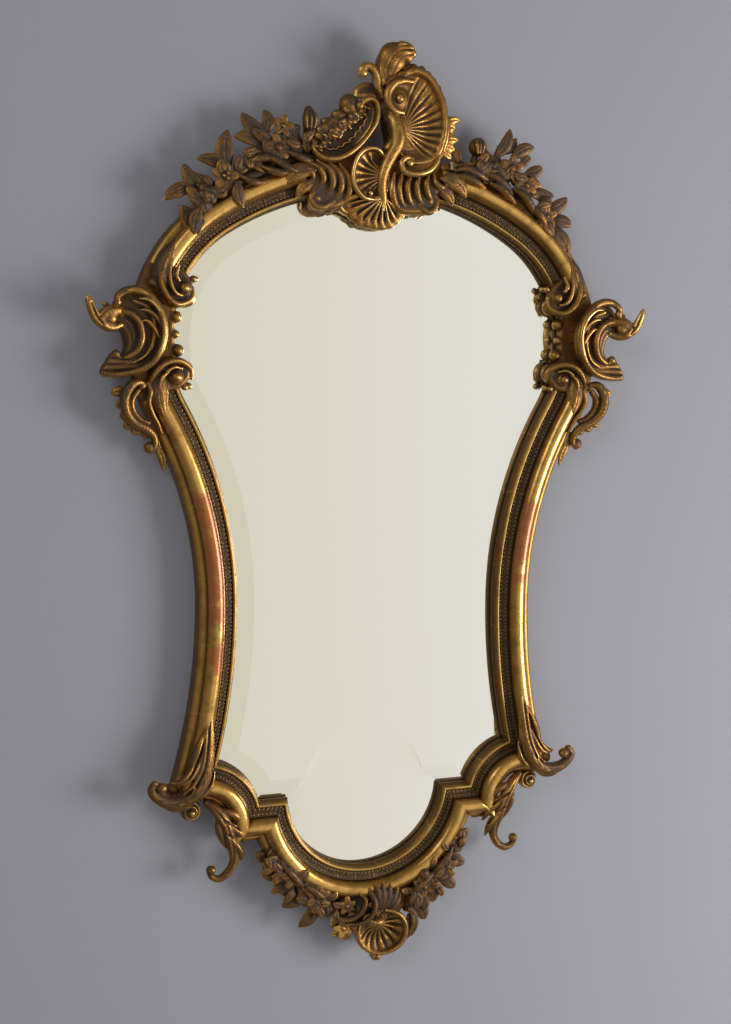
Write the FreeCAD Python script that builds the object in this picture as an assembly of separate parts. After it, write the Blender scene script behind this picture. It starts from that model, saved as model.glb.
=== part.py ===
import FreeCAD, Part
import math
import os

# Gilt wall mirror with a waisted, beveled glass. Millimetres.
# X runs to the viewer's right, Z up, Y into the wall; the wall is the plane Y = 0.
# The origin lies on the wall, midway between the two hanging rings.

# Sight opening: the line of the moulding's inner lip
ARCH_TOP = 171.5
ARCH_RADIUS = 357.5
SHOULDER_RADIUS = 159.5
SHOULDER_HALF = 108.0
WAIST_DROP = 360.0
WAIST_HALF = 179.7
FLARE_RADIUS = 872.1
EAR_RADIUS = 85.5
EAR_HALF = 230.0
EAR_DROP = 645.0
STEP_RISE = 24.5
BASE_RADIUS = 109.0
BASE_RISE = 6.5

# Where the plain blocks under the carving take over from the moulding, degrees
CREST_LEFT_ANGLE = 105.5
CREST_RIGHT_ANGLE = 78.0
WING_TOP_ANGLE = 27.0
WING_LOW_ANGLE = -21.0
EAR_START_ANGLE = 78.0
EAR_END_ANGLE = 215.0
OVERRUN_ANGLE = 8.0

# Moulding section
MOULDING_WIDTH = 52.0
MOULDING_HEIGHT = 46.6
REBATE_WIDTH = 7.0
BACK_GAP = 6.0
STRIP_THICKNESS = 1.8
STRIP_CLEARANCE = 0.3
SEAT_HEIGHT = 30.0

# Glass and backboards
GLASS_THICKNESS = 5.0
GLASS_CLEARANCE = 0.4
GLASS_EDGE = 2.0
BEVEL_WIDTH = 24.0
EDGE_CLEARANCE = 1.0
BOARD_THICKNESS = 4.0
BOARD_GAP = 1.0
BOARD_SPLIT_UPPER = 150.0
BOARD_SPLIT_LOWER = 420.0

# Fasteners
NAIL_RADIUS = 0.8
NAIL_GRIP = 9.0
NAIL_REACH = 7.0
NAIL_SETBACK = 1.6
NAIL_CLEARANCE = 0.05
DOWEL_RADIUS = 3.0
DOWEL_LENGTH = 26.0
DOWEL_CLEARANCE = 0.05
SCREW_RADIUS = 2.0
SCREW_HEAD_RADIUS = 4.0
SCREW_HEAD = 2.4
SCREW_BITE = 8.0
SCREW_CLEARANCE = 0.05

# Ring hangers and wall bumpers
RING_HALF_SPACING = 292.0
RING_WIRE = 1.5
RING_HALF_WIDTH = 12.0
RING_RISE = 20.0
EYE_RADIUS = 2.9
EYE_HALF_LENGTH = 6.0
EYE_CLEARANCE = 0.35
STRAP_THICKNESS = 1.4
STRAP_HALF_WIDTH = 7.0
STRAP_LENGTH = 40.0
STRAP_SCREW_RADIUS = 1.75
STRAP_SCREW_HEAD_RADIUS = 3.4
STRAP_SCREW_HEAD = 1.5
STRAP_SCREW_LENGTH = 12.0
BUMPER_RADIUS = 9.0

# Carving modules: the tables below are shares of these
CREST_MODULE = 100.0
WING_MODULE = 100.0
FOOT_MODULE = 100.0
PENDANT_MODULE = 100.0
SPRAY_MODULE = 100.0
BASE_MODULE = 100.0

# Moulding profile: shares of its width, and of its relief above the rebate
LIP_SHARES = [(0.0, 0.12), (0.058, 0.26), (0.058, 0.39)]
BEAD_SHARES = [(0.106, 0.49), (0.154, 0.39)]
BED_SHARES = [(0.154, 0.34), (0.369, 0.45)]
CUSHION_SHARES = [(0.369, 0.59), (0.592, 1.0), (0.815, 0.59)]
FILLET_SHARES = [(0.815, 0.57), (0.875, 0.57), (0.875, 0.49)]
OUTER_SHARES = [(0.963, 0.42), (1.0, 0.26)]

# Shares of a flower, a leaf, a rib fan and a nail or dowel place
PETAL_SHARES = {"heart": 0.5, "lift": 0.25, "reach": 0.55, "petal": 0.44}
LEAF_SHARES = [(0.0, 0.35), (0.4, 1.0), (0.75, 0.7), (1.0, 0.1)]
LEAF_FLATNESS_SHARE = 0.5
RIB_START_SHARE = 0.3
RIB_THIN_SHARE = 0.012
RIB_THICK_SHARE = 0.03
PLATE_SHARE = 0.12
DOWEL_SHARES = [0.33, 0.72]
MITRE_DOWEL_SHARE = 0.4
BUMPER_SHARE = 0.58
STRAP_SCREW_SHARES = [0.42, 0.78]

# Crest: x and z from the crown of the sight line, upwards
CREST_BOARD_LEFT_SHARES = [(-0.72, 0.38), (-0.45, 0.40), (-0.24, 0.64), (-0.19, 0.88), (-0.24, 1.00),
                           (-0.40, 0.97), (-0.62, 0.78), (-0.78, 0.58)]
CREST_BOARD_RIGHT_SHARES = [
    (0.16, 0.40), (0.60, 0.40), (0.73, 0.70), (0.73, 1.00), (0.60, 1.32), (0.40, 1.44), (0.20, 1.44),
    (0.14, 1.54), (0.04, 1.58), (-0.04, 1.50), (-0.05, 1.36), (-0.13, 1.30), (-0.13, 1.18),
    (0.03, 1.05), (0.10, 0.85), (0.13, 0.62),
]
SHELL_PLATE_SHARES = [
    (0.06, 1.30), (0.15, 1.40), (0.30, 1.50), (0.45, 1.53), (0.58, 1.465), (0.70, 1.315), (0.78, 1.135),
    (0.82, 0.965), (0.82, 0.785), (0.79, 0.635), (0.70, 0.50), (0.50, 0.42), (0.30, 0.40), (0.14, 0.50),
    (0.12, 0.70), (0.08, 0.90), (0.03, 1.05), (0.0, 1.18),
]
SHELL_RIM_SHARES = [(0.03, 1.28, 0.035, 0.05, 0.12), (0.15, 1.375, 0.035, 0.06, 0.12),
                    (0.30, 1.465, 0.035, 0.07, 0.12), (0.45, 1.49, 0.035, 0.08, 0.12),
                    (0.57, 1.42, 0.035, 0.08, 0.12), (0.68, 1.28, 0.035, 0.08, 0.12),
                    (0.755, 1.11, 0.035, 0.08, 0.12), (0.785, 0.95, 0.035, 0.08, 0.12),
                    (0.785, 0.78, 0.035, 0.07, 0.12), (0.755, 0.63, 0.03, 0.05, 0.12)]
SHELL_VOLUTE_SHARES = [(0.13, 1.26, 0.03, 0.06, 0.12), (0.05, 1.21, 0.035, 0.07, 0.12),
                       (0.05, 1.11, 0.035, 0.07, 0.12), (0.13, 1.04, 0.035, 0.07, 0.12),
                       (0.23, 1.07, 0.03, 0.06, 0.12)]
SHELL_BALL_SHARES = [(0.17, 1.155, 0.055, 0.14)]
SHELL_HINGE_SHARES = (0.20, 0.78)
SHELL_RIB_SHARES = [
    (0.36, 1.36), (0.48, 1.36), (0.58, 1.26), (0.65, 1.13), (0.69, 1.0), (0.70, 0.86), (0.68, 0.73),
    (0.60, 0.60), (0.50, 0.50),
]
SHELL_LEAF_SHARES = [
    ((0.78, 0.90), (1.08, 0.965), 0.06, 0.06, 0.02), ((0.78, 0.76), (1.06, 0.70), 0.06, 0.06, 0.02),
]
PANEL_PLATE_SHARES = [
    (-0.42, 1.00), (-0.24, 1.03), (-0.17, 0.95), (-0.19, 0.80), (-0.30, 0.64), (-0.45, 0.50),
    (-0.62, 0.42), (-0.78, 0.40), (-0.90, 0.46), (-0.93, 0.60), (-0.80, 0.74), (-0.66, 0.87),
    (-0.54, 0.97),
]
PANEL_RIM_SHARES = [(-0.33, 1.065, 0.04, 0.06, 0.12), (-0.27, 1.115, 0.04, 0.07, 0.12),
                    (-0.20, 1.115, 0.04, 0.08, 0.12), (-0.14, 1.07, 0.04, 0.08, 0.12),
                    (-0.12, 0.985, 0.04, 0.08, 0.12), (-0.14, 0.865, 0.04, 0.08, 0.12),
                    (-0.21, 0.735, 0.04, 0.08, 0.12), (-0.30, 0.615, 0.04, 0.08, 0.12),
                    (-0.41, 0.505, 0.04, 0.08, 0.12), (-0.55, 0.415, 0.04, 0.08, 0.12),
                    (-0.70, 0.37, 0.04, 0.08, 0.12), (-0.82, 0.375, 0.04, 0.08, 0.12),
                    (-0.91, 0.43, 0.04, 0.07, 0.12), (-0.94, 0.51, 0.035, 0.05, 0.12)]
PANEL_BALL_SHARES = [(-0.47, 1.06, 0.115, 0.04), (-0.62, 0.62, 0.07, 0.12), (-0.45, 0.75, 0.07, 0.12),
                     (-0.33, 0.88, 0.06, 0.12), (-0.70, 0.74, 0.06, 0.12)]
MIDDLE_PLATE_SHARES = [
    (-0.04, 0.46), (-0.15, 0.51), (-0.28, 0.50), (-0.39, 0.40), (-0.44, 0.26), (-0.43, 0.11),
    (-0.37, 0.0), (-0.26, -0.08), (-0.12, -0.09), (0.01, -0.03), (0.07, 0.12), (0.07, 0.30),
    (0.05, 0.42),
]
MIDDLE_RIM_SHARES = [(-0.10, 0.44, 0.03, 0.05, 0.12), (-0.18, 0.47, 0.03, 0.07, 0.12),
                     (-0.28, 0.455, 0.03, 0.07, 0.12), (-0.36, 0.375, 0.03, 0.08, 0.12),
                     (-0.40, 0.25, 0.03, 0.08, 0.12), (-0.39, 0.12, 0.03, 0.08, 0.12),
                     (-0.335, 0.03, 0.03, 0.07, 0.12), (-0.25, -0.04, 0.03, 0.07, 0.12),
                     (-0.15, -0.055, 0.025, 0.05, 0.12)]
MIDDLE_HINGE_SHARES = (0.02, 0.17)
MIDDLE_RIB_SHARES = [(-0.26, 0.37), (-0.31, 0.28), (-0.325, 0.18), (-0.295, 0.08), (-0.22, 0.01)]
LOWER_PLATE_SHARES = [
    (0.0, -0.10), (-0.12, -0.15), (-0.28, -0.14), (-0.42, -0.14), (-0.54, -0.21), (-0.49, -0.33),
    (-0.34, -0.42), (-0.18, -0.455), (-0.03, -0.465), (0.11, -0.43), (0.22, -0.37), (0.28, -0.27),
    (0.20, -0.16), (0.10, -0.10),
]
LOWER_HINGE_SHARES = (-0.01, -0.06)
LOWER_RIB_SHARES = [
    (-0.43, -0.20), (-0.39, -0.30), (-0.28, -0.375), (-0.155, -0.415), (-0.03, -0.425), (0.09, -0.395),
    (0.175, -0.335), (0.225, -0.25),
]
LEAFAGE_RIGHT_SHARES = [
    (0.14, 0.18), (0.13, 0.05), (0.18, -0.06), (0.28, -0.14), (0.34, -0.24), (0.46, -0.265),
    (0.62, -0.235), (0.74, -0.18), (0.76, -0.05), (0.73, 0.10), (0.66, 0.22), (0.55, 0.29),
    (0.40, 0.31), (0.25, 0.27),
]
LEAFAGE_RIGHT_HINGE_SHARES = (0.62, 0.12)
LEAFAGE_RIGHT_RIB_SHARES = [(0.22, 0.12), (0.20, 0.05), (0.30, -0.09), (0.44, -0.20), (0.60, -0.17)]
LEAFAGE_LEFT_SHARES = [
    (-0.93, 0.30), (-0.80, 0.31), (-0.62, 0.26), (-0.52, 0.14), (-0.50, 0.0), (-0.57, -0.13),
    (-0.66, -0.21), (-0.80, -0.26), (-0.90, -0.24), (-0.94, -0.12), (-0.95, 0.10),
]
LEAFAGE_LEFT_HINGE_SHARES = (-0.58, 0.10)
LEAFAGE_LEFT_RIB_SHARES = [(-0.84, 0.25), (-0.88, 0.11), (-0.87, -0.05), (-0.80, -0.18), (-0.67, -0.15)]
STEM_SHARES = [
    (0.06, 0.98, 0.05, 0.06, 0.12), (0.13, 0.82, 0.09, 0.09, 0.12), (0.155, 0.66, 0.10, 0.10, 0.12),
    (0.11, 0.50, 0.09, 0.10, 0.12), (0.04, 0.32, 0.07, 0.09, 0.12), (0.0, 0.14, 0.06, 0.08, 0.12),
    (0.0, -0.02, 0.04, 0.05, 0.12),
]
CREST_SCROLL_SHARES = [(0.30, 0.45, 0.035, 0.06, 0.12), (0.235, 0.38, 0.04, 0.08, 0.12),
                       (0.235, 0.29, 0.04, 0.08, 0.12), (0.32, 0.225, 0.04, 0.08, 0.12),
                       (0.46, 0.215, 0.04, 0.08, 0.12), (0.60, 0.27, 0.04, 0.08, 0.12),
                       (0.70, 0.37, 0.04, 0.08, 0.12), (0.765, 0.49, 0.03, 0.05, 0.12)]
CREST_SCROLL_BALL_SHARES = [(0.34, 0.37, 0.07, 0.12)]
FINIAL_SHARES = [
    (0.02, 1.43, 0.07, 0.06, 0.04), (0.01, 1.56, 0.10, 0.07, 0.06), (0.05, 1.68, 0.12, 0.08, 0.09),
    (0.15, 1.755, 0.11, 0.08, 0.13), (0.26, 1.745, 0.08, 0.07, 0.17), (0.32, 1.68, 0.04, 0.05, 0.19),
]
CURL_SHARES = [
    (-0.09, 1.24, 0.04, 0.05, 0.03), (-0.115, 1.36, 0.045, 0.05, 0.05),
    (-0.155, 1.47, 0.045, 0.05, 0.08), (-0.235, 1.53, 0.045, 0.05, 0.10),
    (-0.315, 1.50, 0.045, 0.05, 0.11),
]
CURL_BALL_SHARES = [(-0.315, 1.46, 0.06, 0.11)]
CREST_SCREW_SHARES = {
    "crest_panel": (-0.48, 0.68), "crest_shell": (0.45, 0.95), "crest_leafage_right": (0.50, 0.16),
    "crest_leafage_left": (-0.70, 0.18), "crest_middle_shell": (-0.26, 0.20),
}

# Side wing: x and z from the widest point of the sight line
WING_BOARD_SHARES = [
    (0.42, 0.36), (0.58, 0.46), (0.68, 0.34), (0.62, 0.12), (0.57, -0.04), (0.62, -0.20), (0.80, -0.30),
    (0.80, -0.38), (0.60, -0.40), (0.42, -0.33),
]
WING_PLATE_SHARES = [
    (0.50, 0.53), (0.30, 0.46), (0.17, 0.30), (0.145, 0.08), (0.22, -0.18), (0.42, -0.36),
    (0.70, -0.43), (0.89, -0.42), (0.86, -0.29), (0.68, -0.21), (0.60, -0.05), (0.66, 0.12),
    (0.78, 0.20), (0.74, 0.40), (0.62, 0.52),
]
WING_RIM_SHARES = [
    (0.48, 0.50, 0.03, 0.06, 0.12), (0.375, 0.475, 0.035, 0.08, 0.12), (0.255, 0.39, 0.035, 0.10, 0.12),
    (0.185, 0.25, 0.035, 0.11, 0.12), (0.18, 0.10, 0.035, 0.11, 0.12),
    (0.215, -0.08, 0.035, 0.11, 0.12), (0.30, -0.23, 0.035, 0.10, 0.12),
    (0.44, -0.335, 0.035, 0.09, 0.12), (0.66, -0.39, 0.035, 0.07, 0.12),
    (0.86, -0.385, 0.03, 0.05, 0.12),
]
WING_INNER_SHARES = [(0.70, 0.16, 0.03, 0.05, 0.12), (0.61, 0.08, 0.035, 0.07, 0.12),
                     (0.565, -0.04, 0.035, 0.07, 0.12), (0.61, -0.17, 0.035, 0.07, 0.12),
                     (0.72, -0.255, 0.03, 0.05, 0.12)]
WING_BALL_SHARES = [(0.60, 0.46, 0.08, 0.12)]
PRONG_SHARES = [
    (0.70, 0.34, 0.07, 0.09, 0.13), (0.82, 0.29, 0.08, 0.08, 0.16), (0.95, 0.33, 0.07, 0.07, 0.22),
    (1.035, 0.42, 0.055, 0.055, 0.27), (1.07, 0.51, 0.025, 0.03, 0.30),
]
COMMA_SHARES = [(0.415, -0.50, 0.035, 0.06, 0.06), (0.495, -0.53, 0.045, 0.07, 0.07),
                (0.575, -0.62, 0.045, 0.08, 0.07), (0.595, -0.76, 0.045, 0.08, 0.06),
                (0.56, -0.89, 0.045, 0.08, 0.04), (0.47, -1.0, 0.045, 0.08, 0.02),
                (0.35, -1.07, 0.045, 0.07, 0.0), (0.26, -1.17, 0.045, 0.07, -0.02),
                (0.24, -1.29, 0.045, 0.07, -0.03), (0.29, -1.37, 0.04, 0.06, -0.04)]
COMMA_BALL_SHARES = [(0.42, -0.55, 0.065, 0.06), (0.30, -1.33, 0.07, -0.04)]
COMMA_LEAF_SHARES = [
    ((0.58, -0.66), (0.80, -0.66), 0.06, 0.03, 0.0), ((0.57, -0.80), (0.725, -0.80), 0.05, 0.02, 0.0),
    ((0.53, -0.92), (0.67, -0.95), 0.05, 0.01, 0.0), ((0.46, -1.0), (0.625, -1.11), 0.05, 0.0, 0.0),
    ((0.40, -1.04), (0.50, -1.17), 0.05, -0.01, 0.0), ((0.24, -1.30), (0.12, -1.62), 0.05, -0.08, 0.0),
]
CLASP_TOP_SHARES = [
    (0.26, 0.78, 0.04, 0.06, 0.0), (0.13, 0.71, 0.06, 0.11, 0.0), (0.02, 0.64, 0.07, 0.12, 0.0),
    (-0.07, 0.60, 0.05, 0.08, 0.0),
]
CLASP_TOP_BALL_SHARES = [(-0.09, 0.58, 0.09, 0.04)]
CLASP_LOW_SHARES = [
    (0.20, -0.40, 0.04, 0.06, 0.0), (0.10, -0.37, 0.06, 0.11, 0.0), (0.0, -0.38, 0.07, 0.12, 0.0),
    (-0.05, -0.45, 0.05, 0.08, 0.0),
]
CLASP_LOW_BALL_SHARES = [(-0.05, -0.47, 0.085, 0.04)]
SIGHT_BALL_SHARES = [(-0.05, 0.29, 0.065, 0.0), (-0.045, 0.08, 0.04, 0.0), (-0.05, -0.12, 0.07, 0.0)]
WING_SCREW_SHARES = [(0.42, 0.18), (0.42, -0.20)]

# Foot scroll: x and z from the lower outer corner of the sight line, rises from the wall
FOOT_SHARES = [
    (0.03, 0.90, 0.03, 0.05, 0.43), (0.09, 0.62, 0.06, 0.07, 0.45), (0.13, 0.34, 0.09, 0.09, 0.46),
    (0.17, 0.08, 0.12, 0.10, 0.46), (0.23, -0.15, 0.14, 0.11, 0.45), (0.36, -0.33, 0.13, 0.12, 0.43),
    (0.53, -0.42, 0.10, 0.12, 0.41), (0.71, -0.41, 0.08, 0.12, 0.42), (0.855, -0.33, 0.07, 0.11, 0.44),
    (0.905, -0.22, 0.06, 0.10, 0.46), (0.86, -0.12, 0.05, 0.08, 0.47),
]
FOOT_BALL_SHARES = [(0.80, -0.17, 0.085, 0.48)]
FOOT_LEAF_SHARES = [
    ((0.24, -0.14), (0.46, 0.02), 0.07, 0.44, 0.04), ((0.40, -0.32), (0.60, -0.20), 0.07, 0.42, 0.06),
]
FOOT_DISC_SHARES = {
    "place": (0.11, 0.21), "disc": 0.145, "boss": 0.07, "back": 0.16, "front": 0.34, "crown": 0.39,
}

# Pendant leaf: x and z from the centre of the ear, rises from the wall
PENDANT_SHARES = [
    (-0.07, 0.33, 0.05, 0.07, 0.37), (-0.25, 0.17, 0.09, 0.10, 0.38), (-0.345, -0.02, 0.11, 0.11, 0.36),
    (-0.395, -0.21, 0.10, 0.11, 0.33), (-0.445, -0.39, 0.08, 0.10, 0.30),
    (-0.445, -0.52, 0.07, 0.09, 0.29), (-0.375, -0.65, 0.065, 0.08, 0.29),
    (-0.255, -0.71, 0.06, 0.07, 0.30), (-0.15, -0.665, 0.05, 0.06, 0.31),
]
PENDANT_BALL_SHARES = [(-0.145, -0.61, 0.075, 0.31)]
PENDANT_LEAF_SHARES = [
    ((-0.36, -0.08), (-0.60, -0.03), 0.06, 0.44, 0.08),
    ((-0.38, -0.2), (-0.64, -0.20), 0.06, 0.42, 0.10),
    ((-0.40, -0.18), (-0.28, -0.26), 0.05, 0.34, 0.0),
    ((-0.44, -0.40), (-0.56, -0.54), 0.05, 0.30, 0.02),
]

# Flower sprays: x and z from the point where the arch runs into the shoulder, rises from the wall
SPRAY_STEM_SHARES = [
    (0.56, 0.22, 0.04, 0.06, 0.22), (0.50, 0.28, 0.05, 0.07, 0.24), (0.30, 0.46, 0.06, 0.08, 0.25),
    (0.05, 0.61, 0.06, 0.08, 0.25), (-0.25, 0.77, 0.06, 0.08, 0.25), (-0.55, 0.89, 0.06, 0.08, 0.25),
    (-0.80, 0.97, 0.05, 0.06, 0.24),
]
LEFT_TWIG_SHARES = [
    [(0.40, 0.80, 0.04, 0.05, 0.25), (0.50, 1.02, 0.05, 0.06, 0.29), (0.60, 1.22, 0.05, 0.06, 0.31),
     (0.80, 1.32, 0.05, 0.06, 0.30), (0.99, 1.36, 0.04, 0.05, 0.30)],
    [(-0.03, 0.60, 0.04, 0.05, 0.25), (-0.06, 0.78, 0.045, 0.05, 0.28),
     (-0.07, 0.92, 0.04, 0.05, 0.30)],
    [(-0.30, 0.46, 0.04, 0.05, 0.25), (-0.40, 0.52, 0.045, 0.05, 0.28),
     (-0.50, 0.55, 0.04, 0.05, 0.30)],
]
LEFT_LEAF_SHARES = [
    ((-0.47, 0.53), (-0.80, 0.38), 0.065, 0.30, 0.06), ((-0.47, 0.54), (-0.58, 0.74), 0.05, 0.30, 0.06),
    ((-0.07, 0.88), (-0.05, 1.17), 0.11, 0.30, 0.06), ((-0.06, 0.76), (-0.38, 0.85), 0.05, 0.28, 0.06),
    ((0.52, 1.22), (0.16, 1.40), 0.065, 0.30, 0.06), ((0.55, 1.20), (0.40, 1.44), 0.06, 0.28, 0.02),
    ((0.50, 1.04), (0.09, 1.14), 0.07, 0.30, 0.06), ((0.98, 1.30), (0.94, 1.56), 0.09, 0.30, 0.08),
    ((-0.52, 0.24), (-0.71, -0.10), 0.06, 0.30, 0.0), ((0.20, 0.74), (-0.02, 0.92), 0.06, 0.26, 0.04),
]
LEFT_FLOWER_SHARES = [(-0.33, 0.48, 0.15, 0.32), (-0.53, 0.26, 0.13, 0.32), (0.57, 1.08, 0.16, 0.36),
                      (0.68, 1.30, 0.11, 0.36)]
LEFT_BALL_SHARES = [(0.0, 0.68, 0.065, 0.34), (-0.12, 0.645, 0.06, 0.352), (0.06, 0.80, 0.055, 0.32)]
RIGHT_TWIG_SHARES = [
    [(-0.20, 0.74, 0.04, 0.05, 0.25), (-0.24, 0.98, 0.05, 0.06, 0.29), (-0.22, 1.14, 0.05, 0.06, 0.31)],
    [(-0.56, 0.88, 0.04, 0.05, 0.25), (-0.62, 1.05, 0.05, 0.06, 0.28), (-0.62, 1.18, 0.05, 0.06, 0.30)],
    [(0.05, 0.60, 0.04, 0.05, 0.25), (0.02, 0.78, 0.05, 0.06, 0.29), (0.10, 0.90, 0.04, 0.05, 0.30)],
]
RIGHT_LEAF_SHARES = [
    ((-0.26, 1.08), (-0.17, 1.44), 0.065, 0.30, 0.06), ((-0.22, 1.10), (0.15, 1.25), 0.065, 0.30, 0.06),
    ((0.05, 0.86), (0.28, 1.02), 0.05, 0.30, 0.06), ((0.05, 0.76), (0.45, 0.66), 0.05, 0.30, 0.06),
    ((0.38, 0.42), (0.65, 0.60), 0.06, 0.30, 0.06), ((0.40, 0.36), (0.73, 0.28), 0.06, 0.30, 0.06),
    ((0.46, 0.28), (0.71, -0.16), 0.06, 0.30, 0.0),
]
RIGHT_FLOWER_SHARES = [(0.38, 0.38, 0.13, 0.32), (0.02, 0.80, 0.13, 0.36), (-0.23, 1.02, 0.14, 0.36)]
RIGHT_BALL_SHARES = [(-0.62, 1.22, 0.13, 0.32)]

# Base carving: x and z from the lowest point of the sight line
BASE_BLOCK_SHARES = [
    (-0.55, -0.40), (-0.36, -0.62), (-0.14, -0.80), (-0.02, -1.0), (0.18, -1.10), (0.40, -1.0),
    (0.46, -0.80), (0.58, -0.62), (0.62, -0.38), (0.0, -0.30),
]
BASE_SHELL_SHARES = [
    (-0.13, -0.84), (0.02, -0.72), (0.20, -0.66), (0.38, -0.68), (0.50, -0.79), (0.53, -0.95),
    (0.45, -1.10), (0.29, -1.18), (0.10, -1.17), (-0.06, -1.03),
]
BASE_RIM_SHARES = [
    (0.26, -0.70, 0.025, 0.05, 0.12), (0.39, -0.73, 0.03, 0.08, 0.12), (0.475, -0.83, 0.03, 0.10, 0.12),
    (0.49, -0.96, 0.03, 0.10, 0.12), (0.425, -1.07, 0.03, 0.09, 0.12), (0.30, -1.14, 0.03, 0.08, 0.12),
    (0.14, -1.145, 0.03, 0.07, 0.12), (0.01, -1.06, 0.025, 0.05, 0.12),
]
BASE_HINGE_SHARES = (0.10, -0.78)
BASE_RIB_SHARES = [
    (0.40, -0.82), (0.42, -0.94), (0.36, -1.03), (0.26, -1.09), (0.15, -1.09), (0.05, -1.02),
    (-0.03, -0.94),
]
DROP_SHARES = [
    (0.12, -1.14, 0.06, 0.05, 0.04), (0.14, -1.22, 0.055, 0.05, 0.04),
    (0.17, -1.29, 0.035, 0.035, 0.05),
]
DROP_BALL_SHARES = [(0.175, -1.29, 0.04, 0.05)]
RIBBON_SHARES = [
    [(-0.47, -0.60, 0.05, 0.06, 0.06), (-0.30, -0.655, 0.06, 0.08, 0.08),
     (-0.15, -0.60, 0.06, 0.09, 0.09), (-0.07, -0.47, 0.06, 0.08, 0.12),
     (-0.11, -0.37, 0.04, 0.06, 0.14)],
    [(-0.30, -0.75, 0.04, 0.05, 0.05), (-0.13, -0.70, 0.055, 0.06, 0.06),
     (0.0, -0.59, 0.055, 0.06, 0.08), (0.04, -0.48, 0.055, 0.06, 0.12),
     (0.02, -0.38, 0.04, 0.05, 0.14)],
]
RIBBON_LEAF_SHARES = [
    ((0.06, -0.52), (0.14, -0.06), 0.08, 0.16, 0.02), ((0.06, -0.52), (0.34, -0.12), 0.08, 0.16, 0.02),
    ((0.08, -0.56), (0.40, -0.36), 0.07, 0.14, 0.02),
]
GARLAND_STEM_SHARES = [
    (1.36, 0.16, 0.04, 0.06, 0.24), (1.16, -0.05, 0.06, 0.08, 0.25), (0.83, -0.33, 0.06, 0.08, 0.25),
    (0.56, -0.47, 0.05, 0.06, 0.24),
]
LEFT_BLOOM_SHARES = [(-1.07, -0.05, 0.14, 0.38), (-0.76, -0.32, 0.16, 0.38)]
LEFT_FROND_SHARES = [
    ((-1.10, 0.02), (-1.40, 0.08), 0.07, 0.30, 0.04), ((-1.0, -0.12), (-1.20, -0.19), 0.06, 0.30, 0.04),
    ((-0.78, -0.36), (-1.12, -0.42), 0.07, 0.32, 0.04),
    ((-0.68, -0.44), (-0.90, -0.69), 0.07, 0.30, 0.04),
    ((-1.26, 0.08), (-1.32, 0.40), 0.06, 0.28, 0.04),
]
RIGHT_BLOOM_SHARES = [(1.15, -0.10, 0.13, 0.38), (0.76, -0.39, 0.15, 0.38)]
RIGHT_BUD_SHARES = [(0.93, -0.22, 0.09, 0.42)]
RIGHT_FROND_SHARES = [
    ((1.18, -0.06), (1.38, -0.08), 0.06, 0.34, 0.04), ((1.02, -0.24), (1.25, -0.42), 0.06, 0.32, 0.04),
    ((0.90, -0.34), (0.97, -0.57), 0.06, 0.32, 0.04), ((0.72, -0.46), (0.87, -0.85), 0.07, 0.30, 0.04),
    ((1.26, 0.06), (1.34, 0.33), 0.06, 0.28, 0.04), ((0.66, -0.44), (0.62, -1.09), 0.06, 0.30, 0.04),
]
BASE_SCREW_SHARES = {"base_shell": (0.24, -0.90), "base_ribbon": (-0.24, -0.645)}

# Nails along the right half: the arc, and the bearing on it in degrees
NAIL_PLACES = [("arch", 64.0), ("shoulder", 42.0), ("shoulder", 4.0), ("waist", 159.0), ("waist", 172.0),
               ("flare", 186.0), ("ear", 135.0), ("base", -35.0), ("base", -72.0)]
BUMPER_PLACES = [("arch", 61.0), ("flare", 190.0)]

V = FreeCAD.Vector
ORIGIN = V(0, 0, 0)
SIDEWAYS = V(1, 0, 0)
FORWARD = V(0, -1, 0)

glass_back = BACK_GAP + NAIL_SETBACK + NAIL_RADIUS + NAIL_CLEARANCE + BOARD_THICKNESS + GLASS_CLEARANCE
lip_back = glass_back + GLASS_THICKNESS + GLASS_CLEARANCE
relief = MOULDING_HEIGHT - lip_back
board_back = BACK_GAP + NAIL_SETBACK + NAIL_RADIUS + NAIL_CLEARANCE

# Centres of the arcs that make up the sight line; each arc is tangent to the next
arch_c = (0.0, ARCH_TOP - ARCH_RADIUS)
shoulder_span = ARCH_RADIUS - SHOULDER_RADIUS
shoulder_c = (SHOULDER_HALF, arch_c[1] + math.sqrt(shoulder_span ** 2 - SHOULDER_HALF ** 2))
waist_in = WAIST_HALF - SHOULDER_HALF
waist_fall = WAIST_DROP + shoulder_c[1]
WAIST_RADIUS = (waist_in ** 2 + waist_fall ** 2 - SHOULDER_RADIUS ** 2) / (2 * (SHOULDER_RADIUS - waist_in))
waist_c = (WAIST_HALF + WAIST_RADIUS, -WAIST_DROP)
flare_c = (WAIST_HALF + FLARE_RADIUS, -WAIST_DROP)
ear_c = (EAR_HALF, -EAR_DROP)
step_z = STEP_RISE - EAR_DROP
base_c = (0.0, step_z + BASE_RISE)


def bearing(centre, point):
    return math.degrees(math.atan2(point[1] - centre[1], point[0] - centre[0]))


def polar(centre, radius, angle):
    a = math.radians(angle)
    return (centre[0] + radius * math.cos(a), centre[1] + radius * math.sin(a))


arch_angle = bearing(arch_c, shoulder_c)
waist_angle = bearing(shoulder_c, waist_c)


def flare_corner(s):
    """Where the stile's flare meets the ear, s outside the lip."""
    ra = FLARE_RADIUS - s
    rb = EAR_RADIUS - s
    dx = ear_c[0] - flare_c[0]
    dz = ear_c[1] - flare_c[1]
    d = math.hypot(dx, dz)
    a = (ra ** 2 - rb ** 2 + d ** 2) / (2 * d)
    h = math.sqrt(ra ** 2 - a ** 2)
    return (flare_c[0] + (a * dx + h * dz) / d, flare_c[1] + (a * dz - h * dx) / d)


def ear_corner(s):
    """Where the ear meets the level step."""
    z = step_z - s
    return (ear_c[0] - math.sqrt((EAR_RADIUS - s) ** 2 - (z - ear_c[1]) ** 2), z)


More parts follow.
